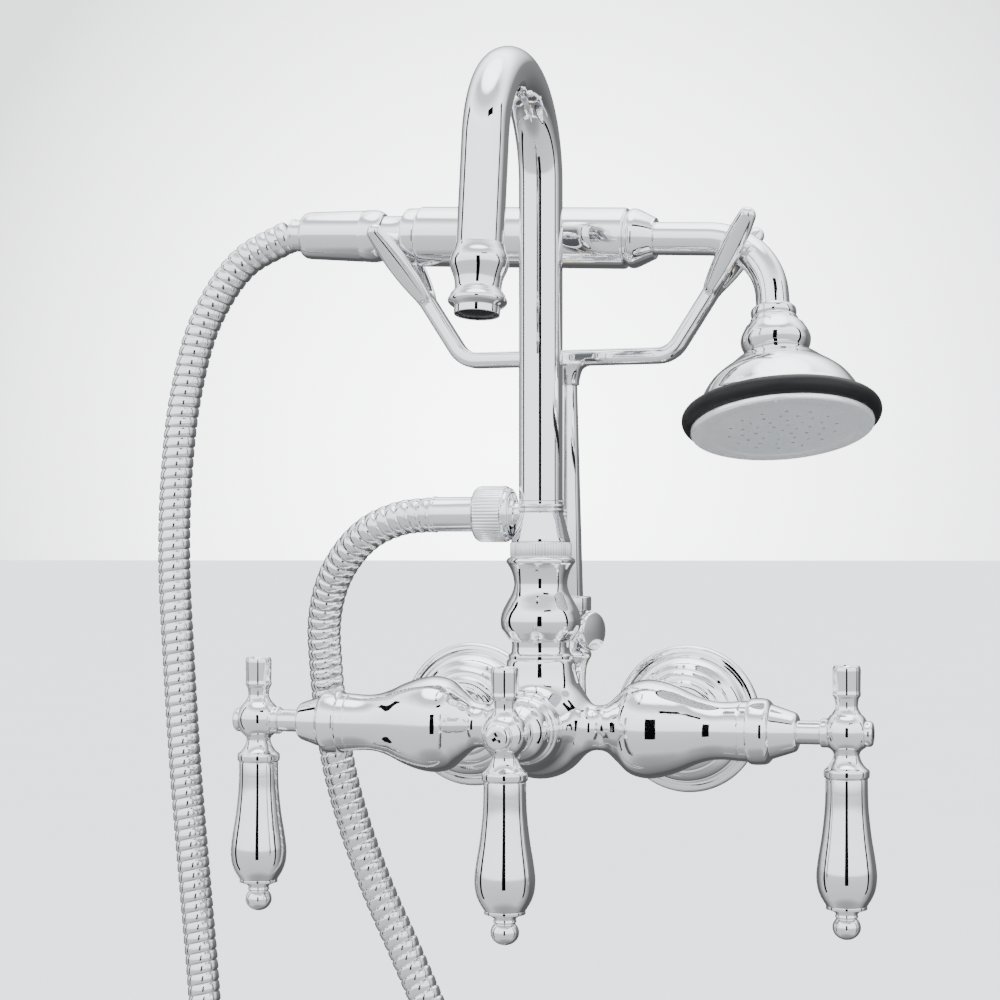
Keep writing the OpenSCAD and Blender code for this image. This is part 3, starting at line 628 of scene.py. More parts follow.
def make_rest_of_wall_fixing():
    """Gaskets, washers and locknuts, each pair as one piece."""
    shapes = [
        ("Wall_gaskets", "wall_gaskets", "rubber",
         [(10.5, 0), (27.2, 0), (27.4, 0.4), (27.4, 1.1), (27.2, GASKET_THICKNESS),
          (10.5, GASKET_THICKNESS)], FORWARD, None),
        ("Shank_washers", "shank_washers", "steel", [(10.5, 10), (17, 10), (17, 12), (10.5, 12)],
         BACKWARD, None),
        ("Shank_locknuts", "shank_locknuts", "brass",
         [(10.6, 12), (14.6, 12), (16.15, 13.2), (16.15, 18.8), (14.6, 20), (10.6, 20)], BACKWARD,
         hexagon(28)),
    ]
    for name, node, slot, outline, direction, shape in shapes:
        pair = bmesh.new()
        for side in (-1, 1):
            part = lathe_mesh(name, outline, closed=True, shape=shape)
            part.transform(shift(side * INLET_X, 0, 0) @ direction)
            pair.from_mesh(part)
        finish_piece(name, as_mesh(name, pair), Matrix.Identity(4), node, slot, "root")


BONNET = [
    (8.6, 0), (10.7, 0), (10.8, 2.6),
    *curve([(11.4, 3), (11.7, 3.8), (11.7, 8), (11.3, 9.5), (10.3, 10.5)]),
    (9.75, 10.8), (9.6, 11.2), *curve([(7.2, 18.4), (6.8, 19.3), (6.1, 19.9), (5.3, 20.2)]),
    (4.2, 20.2), (4.2, 10), (8.6, 10),
]
DIVERTER_BONNET = [
    (8.6, 0), (11.6, 0), (11.6, 2.2), (11.2, 2.8),
    *curve([(10.8, 3.2), (10.6, 6), (9.8, 8.8), (8.4, 11), (7.1, 12.6)]),
    (7.1, 13.5), (4.2, 13.5), (4.2, 6), (8.6, 6),
]
HUB = [
    (0.01, 24.2), *curve([(3.2, 24.2), (4.1, 23.9), (4.7, 23.2), (4.9, 22.2)]), (4.8, 14.6),
    *curve([(4.9, 14.2), (4.95, 13.6), (4.75, 13), (4.35, 12.4), (4.1, 11.6), (3.95, 10.4),
            (3.95, 9.2), (4.3, 8.2), (4.8, 7.4)]),
    *[(HUB_BALL_R * math.cos(math.radians(a)), HUB_BALL_Z + HUB_BALL_R * math.sin(math.radians(a)))
      for a in range(52, -54, -8)],
    *curve([(4.7, -6.6), (4.5, -7.2), (4.7, -8.4), (5.6, -10.4), (6.9, -12), (7.6, -12.5)]),
    (7.9, -12.8), (8, -13.2), (8, -14.8), (7.9, -15.2), (7.4, GRIP_START),
]
GRIP = [
    (0, GRIP_START), (7.35, GRIP_START),
    *curve([(7.4, -21), (7.6, -26), (8, -30.5), (8.8, -37), (9.8, -43), (10.5, -48.6),
            (10.45, -51.6), (10, -54.4), (8.9, -57.2), (7.7, -59.2), (7.25, -59.9)]),
    (0, GRIP_END),
]
FINIAL = [
    (0, GRIP_END), (7.2, GRIP_END), (7.2, -61.2), (6, -61.6),
    *curve([(5, -61.9), (3.9, -62.7), (3.9, -63.4)]),
    (4.1, -63.9), (3.6, -64.4),
    *[(4.95 * math.cos(math.radians(a)), -67.6 + 4.4 * math.sin(math.radians(a)))
      for a in range(42, -90, -6)],
    (0, -72),
]
HUB_COLLAR = [
    (4.7, -9), (5.1, -8.6), (5.1, -5.4), (4.4, -4), (4.4, 3), (4.9, 5.2), (4.9, 6.6),
]


def hub_field(points):
    """The lever's hub: knob, ball with two flats across the stem, and the grip's socket."""
    lever = turned_field(points, (0, 0, 1), list(reversed(HUB)))
    flat = np.abs(points[:, 0]) - HUB_FLAT
    ball = -smooth_join(-lever, -flat, 0.5)
    lever = np.where(np.abs(points[:, 2]) < 8.5, ball, lever)
    return smooth_join(lever, turned_field(points, (1, 0, 0), HUB_COLLAR), 0.5)


def stem_outline(seat):
    """A valve stem from its seat disc out to the spindle that the handle sits on."""
    return [
        (0, seat + 3.05), (6.8, seat + 3.05), (6.8, seat + 6.5), (4.15, seat + 6.5),
        (4.15, -9), (3, -9), (3, 2.5), (0, 2.5),
    ]


def screw_mesh():
    """Round screw head with a cross recess, its face towards +Z."""
    head = lathe_mesh("head", [
        (0, 2.5), (1.5, 2.5), (1.5, 6.6), (4.5, 6.6), (4.5, 8.2),
        *curve([(4.4, 8.5), (3.9, 9.1), (3, 9.35), (1.6, 9.4)]), (0, 9.4),
    ], radius=0.2)
    for angle in (30, 120):
        bar = bmesh.new()
        bmesh.ops.create_cube(bar, size=MM, matrix=turn("Z", angle) @ Matrix.Diagonal((3.9, 1.2, 5, 1)))
        bmesh.ops.translate(bar, verts=bar.verts, vec=(0, 0, 9.4 * MM))
        head = cut(head, as_mesh("cross", bar))
    return head


def make_handle(name, place, seat):
    """One lever handle; place puts its stem along +X at the hub's centre."""
    body = f"{name}_handle"
    blob(f"{name}_hub", hub_field, (-10, -9, -17), (8, 9, 26), 0.4, place,
         f"{name}_handle_hub", "chrome", body, sharp=40)
    lathe(f"{name}_grip", GRIP, place, f"{name}_handle_grip", "chrome", body, radius=0.4)
    lathe(f"{name}_finial", FINIAL, place, f"{name}_handle_finial", "chrome", body)
    lathe(f"{name}_valve_stem", stem_outline(seat), place @ ALONG_X, f"{name}_stem", "chrome",
          body)
    finish_piece(f"{name}_screw", screw_mesh(), place @ ALONG_X, f"{name}_handle_screw", "chrome",
                 body)


def make_valves():
    mirror = Matrix.Diagonal((-1, 1, 1, 1))
    for name, facing in (("hot", mirror), ("cold", Matrix.Identity(4))):
        place = VALVES @ facing
        lathe(f"{name}_bonnet_nut", BONNET, place @ shift(BODY_END, 0, 0) @ ALONG_X,
              f"{name}_bonnet", "chrome", "root", closed=True)
        make_handle(name, place @ shift(HANDLE_X, 0, 0), VALVE_SEAT - HANDLE_X)
    front = VALVES @ turn("Z", -90)
    lathe("diverter_bonnet_nut", DIVERTER_BONNET, front @ shift(DIVERTER_FACE, 0, 0) @ ALONG_X,
          "diverter_bonnet", "chrome", "root", closed=True)
    make_handle("diverter", front @ shift(DIVERTER_REACH, 0, 0), DIVERTER_SEAT - DIVERTER_REACH)


# ---- tower ----

def make_tower():
    column = [
        (5, 24.4), (11.9, 24.4), (11.9, 25.9), (11, 26.6),
        *curve([(10.75, 27.2), (10.6, 29), (10.7, 31)]), (11.6, 31.4),
        *curve([(12.4, 32.4), (14.1, 35.2), (14.65, 38.3), (14.1, 41.4), (12.4, 45),
                (10.6, 48.2), (9.75, 51), (9.9, 53.8), (10.9, 57), (12, 59)]),
        *curve([(12.4, 59.4), (12.6, 60.1), (12.3, 60.9)]), (11.3, 61.6),
        (7.75, 61.6), (7.75, 52), (6.05, 52), (6.05, 41), (5, 41),
    ]
    lathe("Tower_column", column, VALVES, "tower_column", "chrome", "root", closed=True)
    ring = [(7.75, 61.6), (10.8, 61.6), (11.2, 62), (11.2, 66.4), (10.8, 67), (7.75, 67)]
    lathe("Lock_ring", ring, VALVES, "knurled_lock_ring", "chrome", "root", steps=720, closed=True,
          shape=flutes(60, 0.55, 61.8, 66.7), radius=0.15)
    collar = [
        (7.2, 67), (10.8, 67), (10.8, 67.6), *curve([(10.5, 68.6), (9.6, 72), (8.6, 76), (8.15, 77.6)]),
        *curve([(8.2, 77.9), (8.5, 78.4), (8.1, 79.2)]),
        *curve([(8.2, 79.4), (8.5, 80), (8.1, 80.7)]),
        (8.1, 81.8), (6.05, 81.8), (6.05, 79), (7.2, 79),
    ]
    lathe("Outlet_collar", collar, VALVES, "outlet_collar", "chrome", "root", radius=0.15,
          closed=True)
    nipple = [
        (0, 5), (4.4, 5), (4.4, 9), (5.6, 9.4), (5.6, 10.4), (7.7, 10.4), (7.7, 17.2), (0, 17.2),
    ]
    lathe("Outlet_nipple", nipple, OUTLET, "hose_outlet_nipple", "chrome", "root")
    screw = [(0, 5.75), (1.5, 5.75), (1.5, 10), (1.1, 10.1), (0.8, 9.9), (0.8, 9), (0, 9)]
    lathe("Set_screw", screw, SET_SCREW, "collar_set_screw", "steel", "root", radius=0.08)


def make_hose_ends():
    sleeve = [
        (0, 19.2), (7.6, 19.2), (7.6, 21.2), (6.4, 21.2), (6.4, 39.6), (6.7, 40),
        (6.7, SLEEVE_END), (0, SLEEVE_END),
    ]
    near = lathe("Outlet_sleeve", sleeve, OUTLET, "hose_outlet_sleeve", "chrome", "root")
    nut = [
        (8, 10.7), (8.9, 10.7), (9.5, 11.3), (9.5, 12.2), (10.1, 12.6), (10.3, 13.2), (10.3, 22.4),
        *curve([(10.1, 23.2), (9.5, 24), (8.6, 24.5)]), (6.75, 24.5), (6.75, 21.5), (8, 21.5),
    ]
    lathe("Outlet_nut", nut, OUTLET, "hose_outlet_nut", "chrome", "outlet_nut", closed=True,
          steps=600, shape=flutes(50, 0.5, 13.2, 22.6), radius=0.15)
    along = HANDSET @ ALONG_X
    far_sleeve = [
        (0, -111.9), (6.5, -111.9), (6.5, -110.9), (6.2, -110.5), (6.4, -106), (6.4, -90),
        (7.4, -90), (7.4, -88), (0, -88),
    ]
    far = lathe("Handset_sleeve", far_sleeve, along, "handset_hose_sleeve", "chrome", "handset")
    cone = [
        (6.75, -106.8), (7.6, -106.8),
        *curve([(8.1, -106.6), (8.8, -105.7), (9.15, -104), (9.3, -101)]),
        (9.95, -82.4), (9.85, -82), (9.85, -81.4), (10, -81),
        *curve([(10.15, -77.4), (9.9, -75.6), (9.2, -74), (8.6, -73.3)]),
        (7.8, -73.2), (7.8, -90.3), (6.75, -90.3),
    ]
    lathe("Handset_nut", cone, along, "handset_hose_nut", "chrome", "handset_nut", closed=True,
          radius=0.2)
    return near, far


# ---- hose ----

HOSE_SIDES = 28
HOSE_BAND_LEAN = 0.14
HOSE_FADE_RINGS = 14

# one turn of the hose: (part of the pitch, depth under the hose's outside)
HOSE_BAND = [(0, 0.6), (0.06, 0.6), (0.13, 0.14), (0.3, 0), (0.52, 0.02), (0.62, 0.1), (0.88, 0.2)]


def lean_bands(mesh, path, sides, slope):
    """Leans each ring of a tube a little, as a wound strip's turns lean, fading to its ends."""
    ahead = np.gradient(path, axis=0)
    ahead /= np.linalg.norm(ahead, axis=1)[:, None]
    across = np.cross(ahead, (0, -1, 0))
    spots = np.zeros(len(mesh.vertices) * 3)
    mesh.vertices.foreach_get("co", spots)
    spots = spots.reshape(-1, 3)
    count = len(path) * sides
    rings = spots[:count].reshape(len(path), sides, 3)
    reach = ((rings - path[:, None]) * across[:, None]).sum(2)
    from_start = np.arange(len(path))
    fade = np.clip(np.minimum(from_start, from_start[::-1]) / HOSE_FADE_RINGS, 0, 1)
    rings += (slope * fade[:, None] * reach)[:, :, None] * ahead[:, None]
    mesh.vertices.foreach_set("co", spots.ravel())
    mesh.update()


def make_hose(sleeves):
    """The ribbed hose along its route between the two sleeves."""
    line = np.array(curve(HOSE_ROUTE, step=0.5)) * MM
    gaps = np.linalg.norm(np.diff(line, axis=0), axis=1)
    along = np.concatenate([[0], np.cumsum(gaps)])
    turns = int(along[-1] / (HOSE_PITCH * MM))
    spots = []
    radii = []
    for i in range(turns):
        for phase, depth in HOSE_BAND:
            spots.append((i + phase) * along[-1] / turns)
            radii.append((HOSE_DIA / 2 - depth) * MM)
    spots.append(along[-1])
    radii.append(radii[0])
    path = np.stack([np.interp(spots, along, line[:, i]) for i in range(3)], 1)
    mesh = tube_mesh("Shower_hose", path, radii, HOSE_SIDES)
    lean_bands(mesh, path, HOSE_SIDES, HOSE_BAND_LEAN)
    for polygon in mesh.polygons:
        polygon.use_smooth = True
    mesh.materials.append(MATERIALS["hose"])
    hose = link_object("Shower_hose", mesh)
    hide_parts("shower_hose")
    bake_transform(hose)


# ---- cradle ----

def pedestal_field(points):
    """The post's socket, with its stub to the valve body and the lock's boss."""
    column = curve([
        (7.6, -1), (7.6, 6), (7.2, 14), (7.5, 19.6), (8.4, 22.4), (9.2, 23.8), (9.4, 25),
        (8.8, 26.2), (7.5, 26.8), (7.2, 28), (7.2, 41.2),
    ])
    result = turned_field(points, (0, 0, 1), column)
    base = np.sqrt((points**2).sum(1)) - 7.7
    result = smooth_join(result, base, 0.4)
    rear = [(7.5, 0), (7.5, 14)]
    result = smooth_join(result, turned_field(points, (0, -1, 0), rear), 1.5)
    boss = [(5, 0), (3.6, 9.6)]
    lock = points - np.array((0, 0, LOCK_HEIGHT))
    heading = math.radians(LOCK_HEADING)
    direction = (math.cos(heading), -math.sin(heading), 0)
    return smooth_join(result, turned_field(lock, direction, boss), 1.5)


def blade_field(points, start, end, width, thickness, normal):
    """A leaf shaped blade, oval in section, widest half way along."""
    ahead = np.array(end - start)
    length = np.linalg.norm(ahead)
    ahead /= length
    normal = np.array(normal)
    side = np.cross(ahead, normal)
    away = points - np.array((start + end) / 2)
    along = away @ ahead
    beyond = np.maximum(np.abs(along) - length / 2, 0)
    half = width / 2 * (1 - 0.25 * np.clip(np.abs(along) / length * 2, 0, 1) ** 2)
    round_out = np.sqrt(
        (away @ side / half) ** 2 + (away @ normal / thickness * 2) ** 2 + (beyond / half) ** 2
    )
    return (round_out - 1) * thickness / 2


def prong_ends(side, length):
    """Start and end of a right hand prong's middle line, and its broad face's direction."""
    turn_out = turn("Y", ARM_SLOPE).to_3x3() @ turn("X", side * PRONG_LEAN).to_3x3()
    out = turn_out @ Vector((0, -side, 0))
    up = turn_out @ Vector((0, 0, 1))
    base = Vector(FORK_BASE) + out * 1.6
    return base + up * 4, base + up * (length - 3.3), out


def bar_line():
    """Middle line of the right half of the bar: straight, round the bend and up the arm."""
    slope = math.radians(ARM_SLOPE)
    sweep = 90 - ARM_SLOPE
    setback = BEND_MIDDLE * math.tan(math.radians(sweep / 2))
    bend = arc((BAR_HALF - setback, BAR_HEIGHT + BEND_MIDDLE), BEND_MIDDLE, -90, sweep - 90, 7)
    rise = (FORK_BASE[2] - BAR_HEIGHT) / math.cos(slope) + 2.5
    tip = (BAR_HALF + rise * math.sin(slope), 0, BAR_HEIGHT + rise * math.cos(slope))
    return [(-5, 0, BAR_HEIGHT), *bend, tip]


def fork_field(points):
    """The bar, its arms and the four prongs; the left half mirrors the right."""
    folded = points.copy()
    folded[:, 0] = np.abs(folded[:, 0])
    hub = curve([(4.7, 126.6), (4.9, 128.6), (5.8, 132), (7.2, 134.6)])
    line = bar_line()
    pieces = [
        plate_field(folded, start, end, BAR_THICKNESS, BAR_DEPTH, BAR_EDGE, (0, 1, 0))
        for start, end in zip(line, line[1:])
    ]
    result = np.min(pieces, axis=0)
    for side, length in zip((1, -1), PRONG_LENGTHS):
        start, end, normal = prong_ends(side, length)
        prong = blade_field(folded, start, end, PRONG_WIDTH, PRONG_THICKNESS, normal)
        result = smooth_join(result, prong, 0.8)
    return smooth_join(result, turned_field(points, (0, 0, 1), hub), 2)


def make_cradle():
    blob("Rear_pedestal", pedestal_field, (-11, -15, -9), (12, 11, 42.4), 0.5, POST,
         "rear_pedestal", "chrome", "root")
    ring = [(0, 41.2), (9.0, 41.2), (9.3, 41.6), (9.3, 46.2), (9.0, 46.7), (0, 46.7)]
    lathe("Pedestal_ring", ring, POST, "pedestal_ring", "chrome", "root")
    post = [(0, 46.7), (6.2, 46.7), (4, 126.6), (0, 126.6)]
    lathe("Cradle_post", post, POST, "cradle_post", "chrome", "root")
    blob("Cradle_fork", fork_field, (-79, -21, 124), (79, 21, 194), 0.56, POST,
         "cradle_fork", "chrome", "root", sharp=40)
    knob = [
        (0, 8), (2, 8), (2, 9.9), (6.3, 9.9), (7.1, 10.4), (7.25, 11), (7.25, 12.6), (6.9, 13.2),
        (0, 13.3),
    ]
    lathe("Lock_knob", knob, LOCK, "cradle_lock_knob", "chrome", "cradle_lock", radius=0.25)


# ---- spout ----

def make_spout():
    leg = math.radians(OUTLET_LEAN)
    riser = [(0, 0, z) for z in np.linspace(82, BEND_HEIGHT - 3, 30)]
    over = arc((BEND_RADIUS, BEND_HEIGHT), BEND_RADIUS, 180, OUTLET_LEAN, 90)
    down = [
        (LEG_TOP[0] + t * math.sin(leg), 0, LEG_TOP[1] - t * math.cos(leg))
        for t in np.linspace(2, 37.6, 14)
    ]
    path = np.array(riser + over + down) * MM
    mesh = tube_mesh("Gooseneck", path, [TUBE_R * MM] * len(path), 96)
    finish_piece("Gooseneck", mesh, SPOUT, "spout_gooseneck", "chrome", "spout")
    fitting = [
        (6.9, 37.5), (8.2, 37.5),
        *curve([(8.4, 38.6), (8.8, 40), (9.4, 41.4), (9.85, 43.4), (9.6, 45.4), (8.9, 47.2),
                (8.2, 49.1), (7.85, 51.2), (7.85, 52.7), (8.1, 53.5)]),
        (8.5, 53.7), (8.7, 54.3), (9.1, 54.5), (9.4, 55.5), (9.75, 56),
        *curve([(9.9, 56.5), (9.85, 57.1), (9.3, 57.8), (8.3, 58.5)]),
        (7.75, 58.9), (7.65, OUTLET_LEG), (7.2, OUTLET_LEG), (7.2, 52.5), (6.9, 52.5),
    ]
    lathe("Spout_end", fitting, LEG, "spout_end_fitting", "chrome", "spout", closed=True,
          radius=0.2)
    screen = lathe_mesh("Aerator", [
        (0, 53), (7.15, 53), (7.15, 60.2), (5.7, 60.2), (5.6, 58), (0, 57.6),
    ])
    screen = pierced(screen, ((0, 1), (1.9, 6), (3.9, 12)), 57.5, (0.55, 0.55), 2.5)
    finish_piece("Aerator", screen, LEG, "spout_aerator", "dark_plastic", "spout")


# ---- hand shower ----

def spray_mesh():
    """The spray plate with its rings of nozzle holes, its face towards +Z."""
    plate = lathe_mesh("Spray_plate", [
        (0, 51.5), (27.5, 51.5), (27.5, 46.4), (31.2, 46.4), (31.2, 51), (32.9, 51),
        *curve([(32.9, 52.3), (32.7, 52.8), (32.2, 53.05)]), (26.9, 53.1),
        *curve([(26.6, 53), (26.3, 52.85), (25.9, 52.8)]), (0, 52.9),
    ], steps=144)
    rings = ((0, 1), (4.9, 6), (9.8, 10), (14.7, 15), (19.4, 14))
    return pierced(plate, rings, 50.7, (0.7, 0.75), 6)


def make_handset():
    along = HANDSET @ ALONG_X
    body = "handset"
    grip = [
        (0, -88), (7.5, -88), (7.5, -73), (7.95, -72.7),
        *curve([(7.95, -72), (7.9, -68), (8.2, -65), (8.6, -64)]), (8.6, -58.3), (10.9, -58.3),
        *curve([(11.3, -58), (11.5, -57.4), (11.5, -56)]), (11.5, 22.4),
        *curve([(11.4, 23.2), (11, 23.7), (10.4, 23.8)]), (0, 23.8),
    ]
    lathe("Handset_grip", grip, along, "handset_grip", "chrome", body)
    ring = [
        (8.6, -64), (10.2, -64), (10.7, -63.5), (10.85, -62.6), (10.85, -59.4), (10.6, -58.5),
        (8.6, -58.3),
    ]
    lathe("Handset_end_ring", ring, along, "handset_end_ring", "chrome", body, closed=True)
    collar = [
        (6.2, 23.8), (10.2, 23.8), (10.4, 24.3),
        *curve([(10.7, 24.7), (11.1, 25.5), (11.1, 27.2), (10.5, 28.8), (9.2, 31.6), (8, 34)]),
        (7.8, 34.7), (6.2, 34.7),
    ]
    lathe("Handset_collar", collar, along, "handset_collar", "chrome", body, closed=True)
    start = [(x, 0, 0) for x in np.linspace(24, NECK_START - 1.5, 12)]
    over = arc((NECK_START, -NECK_BEND_RADIUS), NECK_BEND_RADIUS, 90, 90 - NECK_BEND, 48)
    ahead = (math.cos(math.radians(NECK_BEND)), -math.sin(math.radians(NECK_BEND)))
    down = [
        (NECK_END[0] + t * ahead[0], 0, NECK_END[1] + t * ahead[1])
        for t in np.linspace(1.5, 12.4, 6)
    ]
    path = np.array(start + over + down) * MM
    mesh = tube_mesh("Neck_tube", path, [NECK_TUBE_R * MM] * len(path), 72)
    finish_piece("Neck_tube", mesh, HANDSET @ turn("X", -HEAD_LEAN), "handset_neck_tube",
                 "chrome", body)
    coupling = [
        (6.3, 5.6), *curve([(7.6, 5.6), (8.2, 6.2), (8.35, 7.4), (8.2, 8.6), (7.8, 9.2)]), (7.7, 9.4),
        *curve([(8.2, 9.5), (8.7, 10), (8.8, 10.8), (8.7, 11.4)]),
        (9, 11.6), (9.7, 11.9), (10.1, 12.5), (6.3, 12.5),
    ]
    lathe("Head_coupling", coupling, HEAD, "head_coupling", "chrome", body, closed=True)
    bell = [
        (4.7, 12.5), (10.2, 12.5),
        *curve([(10.7, 12.9), (11.4, 14.2), (12.3, 16), (12.8, 18.2), (12.4, 20.4), (11.6, 22),
                (11, 22.7)]),
        (10.9, 22.9),
        *curve([(11.8, 23.5), (13.4, 24.6), (15.2, 26), (18.4, 28.7), (21.7, 31.2), (24.7, 34),
                (27, 37.2), (28.6, 40.2), (29.4, 42), (30.6, 43.7)]),
        (31.3, 44.3), (31.3, 45.6), (29.6, 45.6), (28.2, 43.2), (26.8, 40.6), (25.3, 38),
        (23, 35.6), (20, 33), (16, 30), (12, 27), (8, 24.6), (4.7, 22),
    ]
    lathe("Head_bell", bell, HEAD, "head_bell", "chrome", body, closed=True, steps=160)
    rubber = [
        (31.3, 44.3),
        *curve([(32.7, 44.2), (34.6, 44.8), (35.7, 46.1), (36, 47.6), (35.6, 49.2), (34.6, 50.4),
                (33.2, 51)]),
        (31.3, 51),
    ]
    lathe("Head_rubber", rubber, HEAD, "head_rubber_ring", "rubber", body, closed=True, steps=160)
    finish_piece("Spray_plate", spray_mesh(), HEAD, "spray_plate", "face_plate", body)


# ---- CAD pieces that keep their own shape ----

def finish_hidden_nodes():
    """Gives each CAD node the material of its slot."""
    slots = {part["node"]: part["material_slot"] for part in frame["record"]["subparts"]}
    for name, node in frame["nodes"].items():
        node.data.materials.clear()
        node.data.materials.append(MATERIALS[slots[name]])


# ---- studio, in metres ----

ROOM_HALF = 320
BACKDROP_Y = 300
FLOOR_Z = CAD_BOX[0][2] - 0.02
BACKDROP_CENTRE = (-92, BACKDROP_Y, 16)
BACKDROP_SPREAD = 96
WORLD_PEAK = 8
CARD_DISTANCE = 1.5
LAMP_DISTANCE = 1.2
AIM_HEIGHT = 0.08


def one_face(name, corners):
    mesh = bpy.data.meshes.new(name)
    mesh.from_pydata(corners, [], [(0, 1, 2, 3)])
    return mesh


def glowing(name, color):
    """A material that only glows, and its glow."""
    made = bpy.data.materials.new(name)
    made.use_nodes = True
    nodes = made.node_tree.nodes
    nodes.remove(nodes["Principled BSDF"])
    glow = nodes.new("ShaderNodeEmission")
    glow.inputs["Color"].default_value = color
    made.node_tree.links.new(glow.outputs["Emission"], nodes["Material Output"].inputs["Surface"])
    return made, glow


def make_card(name, place, facing, width, height, strength):
    """An upright dark card that only the reflections show."""
    half_width = width / 2
    half_height = height / 2
    mesh = one_face(name, [
        (-half_width, 0, -half_height), (half_width, 0, -half_height),
        (half_width, 0, half_height), (-half_width, 0, half_height),
    ])
    made, glow = glowing(name, (0.97, 0.98, 1, 1))
    glow.inputs["Strength"].default_value = strength
    mesh.materials.append(made)
    card = link_object(name, mesh)
    card.location = place
    card.rotation_euler = (0, 0, math.radians(facing))
    card.visible_camera = False
    card.visible_shadow = False
    card.visible_diffuse = False


def around(azimuth, distance, height):
    """A point around the faucet: azimuth 0 is straight in front and 90 to the right."""
    angle = math.radians(azimuth)
    return (distance * math.sin(angle), -REACH * MM - distance * math.cos(angle), height)


def glow_ramp(nodes, links, value, stops):
    """A brightness that follows value from -1 to 1 through the given stops."""
    spot = nodes.new("ShaderNodeMapRange")
    spot.inputs["From Min"].default_value = -1
    links.new(value, spot.inputs["Value"])
    ramp = nodes.new("ShaderNodeValToRGB")
    while len(ramp.color_ramp.elements) < len(stops):
        ramp.color_ramp.elements.new(0.5)
    for element, (height, level) in zip(ramp.color_ramp.elements, stops):
        element.position = (height + 1) / 2
        element.color = (level / WORLD_PEAK, level / WORLD_PEAK, level / WORLD_PEAK, 1)
    links.new(spot.outputs["Result"], ramp.inputs["Fac"])
    return ramp.outputs["Color"]


def make_world():
    """A white room whose lower half is greyer and whose back, behind the faucet, is darker."""
    world = bpy.data.worlds.new("Studio")
    world.use_nodes = True
    nodes = world.node_tree.nodes
    links = world.node_tree.links
    heading = nodes.new("ShaderNodeTexCoord")
    parts = nodes.new("ShaderNodeSeparateXYZ")
    links.new(heading.outputs["Generated"], parts.inputs["Vector"])
    front = glow_ramp(nodes, links, parts.outputs["Z"], [
        (-1, 0.4), (-0.9, 0.55), (-0.78, 0.95), (-0.2, 1.1), (-0.05, 1.2), (0.03, 2.5), (0.6, 3.1),
        (0.8, 1.3), (0.88, 1.2), (0.93, 5), (1, 5.5),
    ])
    rear = glow_ramp(nodes, links, parts.outputs["Z"], [
        (-1, 0.1), (-0.3, 0.14), (-0.02, 0.2), (0.04, 0.22), (0.35, 0.3), (0.6, 2), (0.85, 5),
        (1, 5.5),
    ])
    behind = nodes.new("ShaderNodeMapRange")
    behind.inputs["From Min"].default_value = -0.05
    behind.inputs["From Max"].default_value = 0.6
    links.new(parts.outputs["Y"], behind.inputs["Value"])
    both = nodes.new("ShaderNodeMix")
    both.data_type = "RGBA"
    links.new(behind.outputs["Result"], both.inputs["Factor"])
    links.new(front, both.inputs["A"])
    links.new(rear, both.inputs["B"])
    tint = nodes.new("ShaderNodeMix")
    tint.data_type = "RGBA"
    tint.blend_type = "MULTIPLY"
    tint.inputs["Factor"].default_value = 1
    tint.inputs["B"].default_value = (0.955, 0.97, 1, 1)
    links.new(both.outputs["Result"], tint.inputs["A"])
    links.new(tint.outputs["Result"], nodes["Background"].inputs["Color"])
    nodes["Background"].inputs["Strength"].default_value = WORLD_PEAK
    bpy.context.scene.world = world


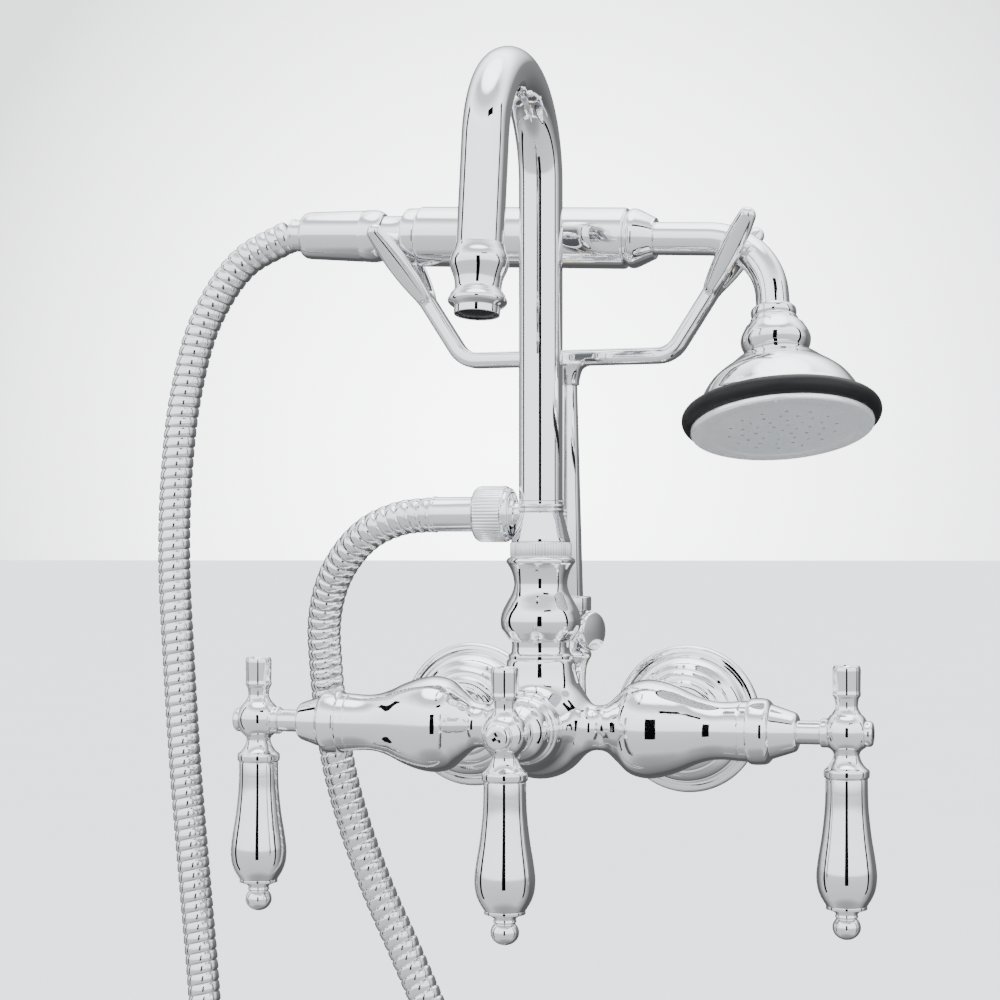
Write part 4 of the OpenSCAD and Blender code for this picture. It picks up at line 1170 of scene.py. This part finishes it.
def make_backdrop():
    """A far white wall that only the camera sees, glowing brightest behind the faucet: a painted pool
    of light.
    """
    mesh = one_face("Backdrop", [
        (-ROOM_HALF, BACKDROP_Y, FLOOR_Z), (ROOM_HALF, BACKDROP_Y, FLOOR_Z),
        (ROOM_HALF, BACKDROP_Y, ROOM_HALF), (-ROOM_HALF, BACKDROP_Y, ROOM_HALF),
    ])
    made, glow = glowing("Backdrop", (0.96, 0.975, 1, 1))
    nodes = made.node_tree.nodes
    links = made.node_tree.links
    place = nodes.new("ShaderNodeTexCoord")
    away = nodes.new("ShaderNodeVectorMath")
    away.operation = "DISTANCE"
    away.inputs[1].default_value = BACKDROP_CENTRE
    links.new(place.outputs["Object"], away.inputs[0])
    # painted pool of light: the wall's glow falls from 8 behind the faucet to 2.2 at BACKDROP_SPREAD
    # away
    spread = nodes.new("ShaderNodeMapRange")
    spread.inputs["From Max"].default_value = BACKDROP_SPREAD
    spread.inputs["To Min"].default_value = 8
    spread.inputs["To Max"].default_value = 2.2
    links.new(away.outputs["Value"], spread.inputs["Value"])
    links.new(spread.outputs["Result"], glow.inputs["Strength"])
    mesh.materials.append(made)
    wall = link_object("Backdrop", mesh)
    wall.visible_glossy = False
    wall.visible_diffuse = False
    wall.visible_shadow = False


def make_floor():
    mesh = one_face("Floor", [
        (-ROOM_HALF, -ROOM_HALF, FLOOR_Z), (ROOM_HALF, -ROOM_HALF, FLOOR_Z),
        (ROOM_HALF, ROOM_HALF, FLOOR_Z), (-ROOM_HALF, ROOM_HALF, FLOOR_Z),
    ])
    made = material("Floor", (0.88, 0.9, 0.905), 0, 0.9, 0.05, 0.02, 0.02, shine=0.05)
    mesh.materials.append(made)
    floor = link_object("Floor", mesh)
    floor.visible_glossy = False


def make_lamps():
    """Two soft lamps that no reflection shows."""
    for name, azimuth, height, size, power in (
        ("Key", -40, 0.9, 0.6, 8), ("Fill", 55, 0.7, 0.6, 4),
    ):
        data = bpy.data.lights.new(name, "AREA")
        data.size = size
        data.energy = power
        lamp = link_object(name, data)
        lamp.location = around(azimuth, LAMP_DISTANCE, height)
        aim = Vector((0, -REACH * MM, AIM_HEIGHT)) - lamp.location
        lamp.rotation_euler = aim.to_track_quat("-Z", "Y").to_euler()
        lamp.visible_camera = False
        lamp.visible_glossy = False


def make_studio():
    for name, azimuth, width, height, rise, strength in (
        ("Front_slot", 12, 0.36, 1.3, 0.1, 0.004), ("Right_slot", 97, 0.2, 2.2, 0.1, 0.004),
        ("Left_slot", -86, 0.3, 2.2, 0.1, 0.01), ("Top_slot", 40, 0.7, 0.3, 1.5, 0.004),
    ):
        make_card(name, around(azimuth, CARD_DISTANCE, rise), azimuth, width, height, strength)
    make_floor()
    make_world()
    make_backdrop()
    make_lamps()


make_camera()
MATERIALS = make_materials()
make_hose(make_hose_ends())
make_wall_fixing()
make_rest_of_wall_fixing()
make_valves()
make_tower()
make_cradle()
make_spout()
make_handset()
finish_hidden_nodes()
make_studio()
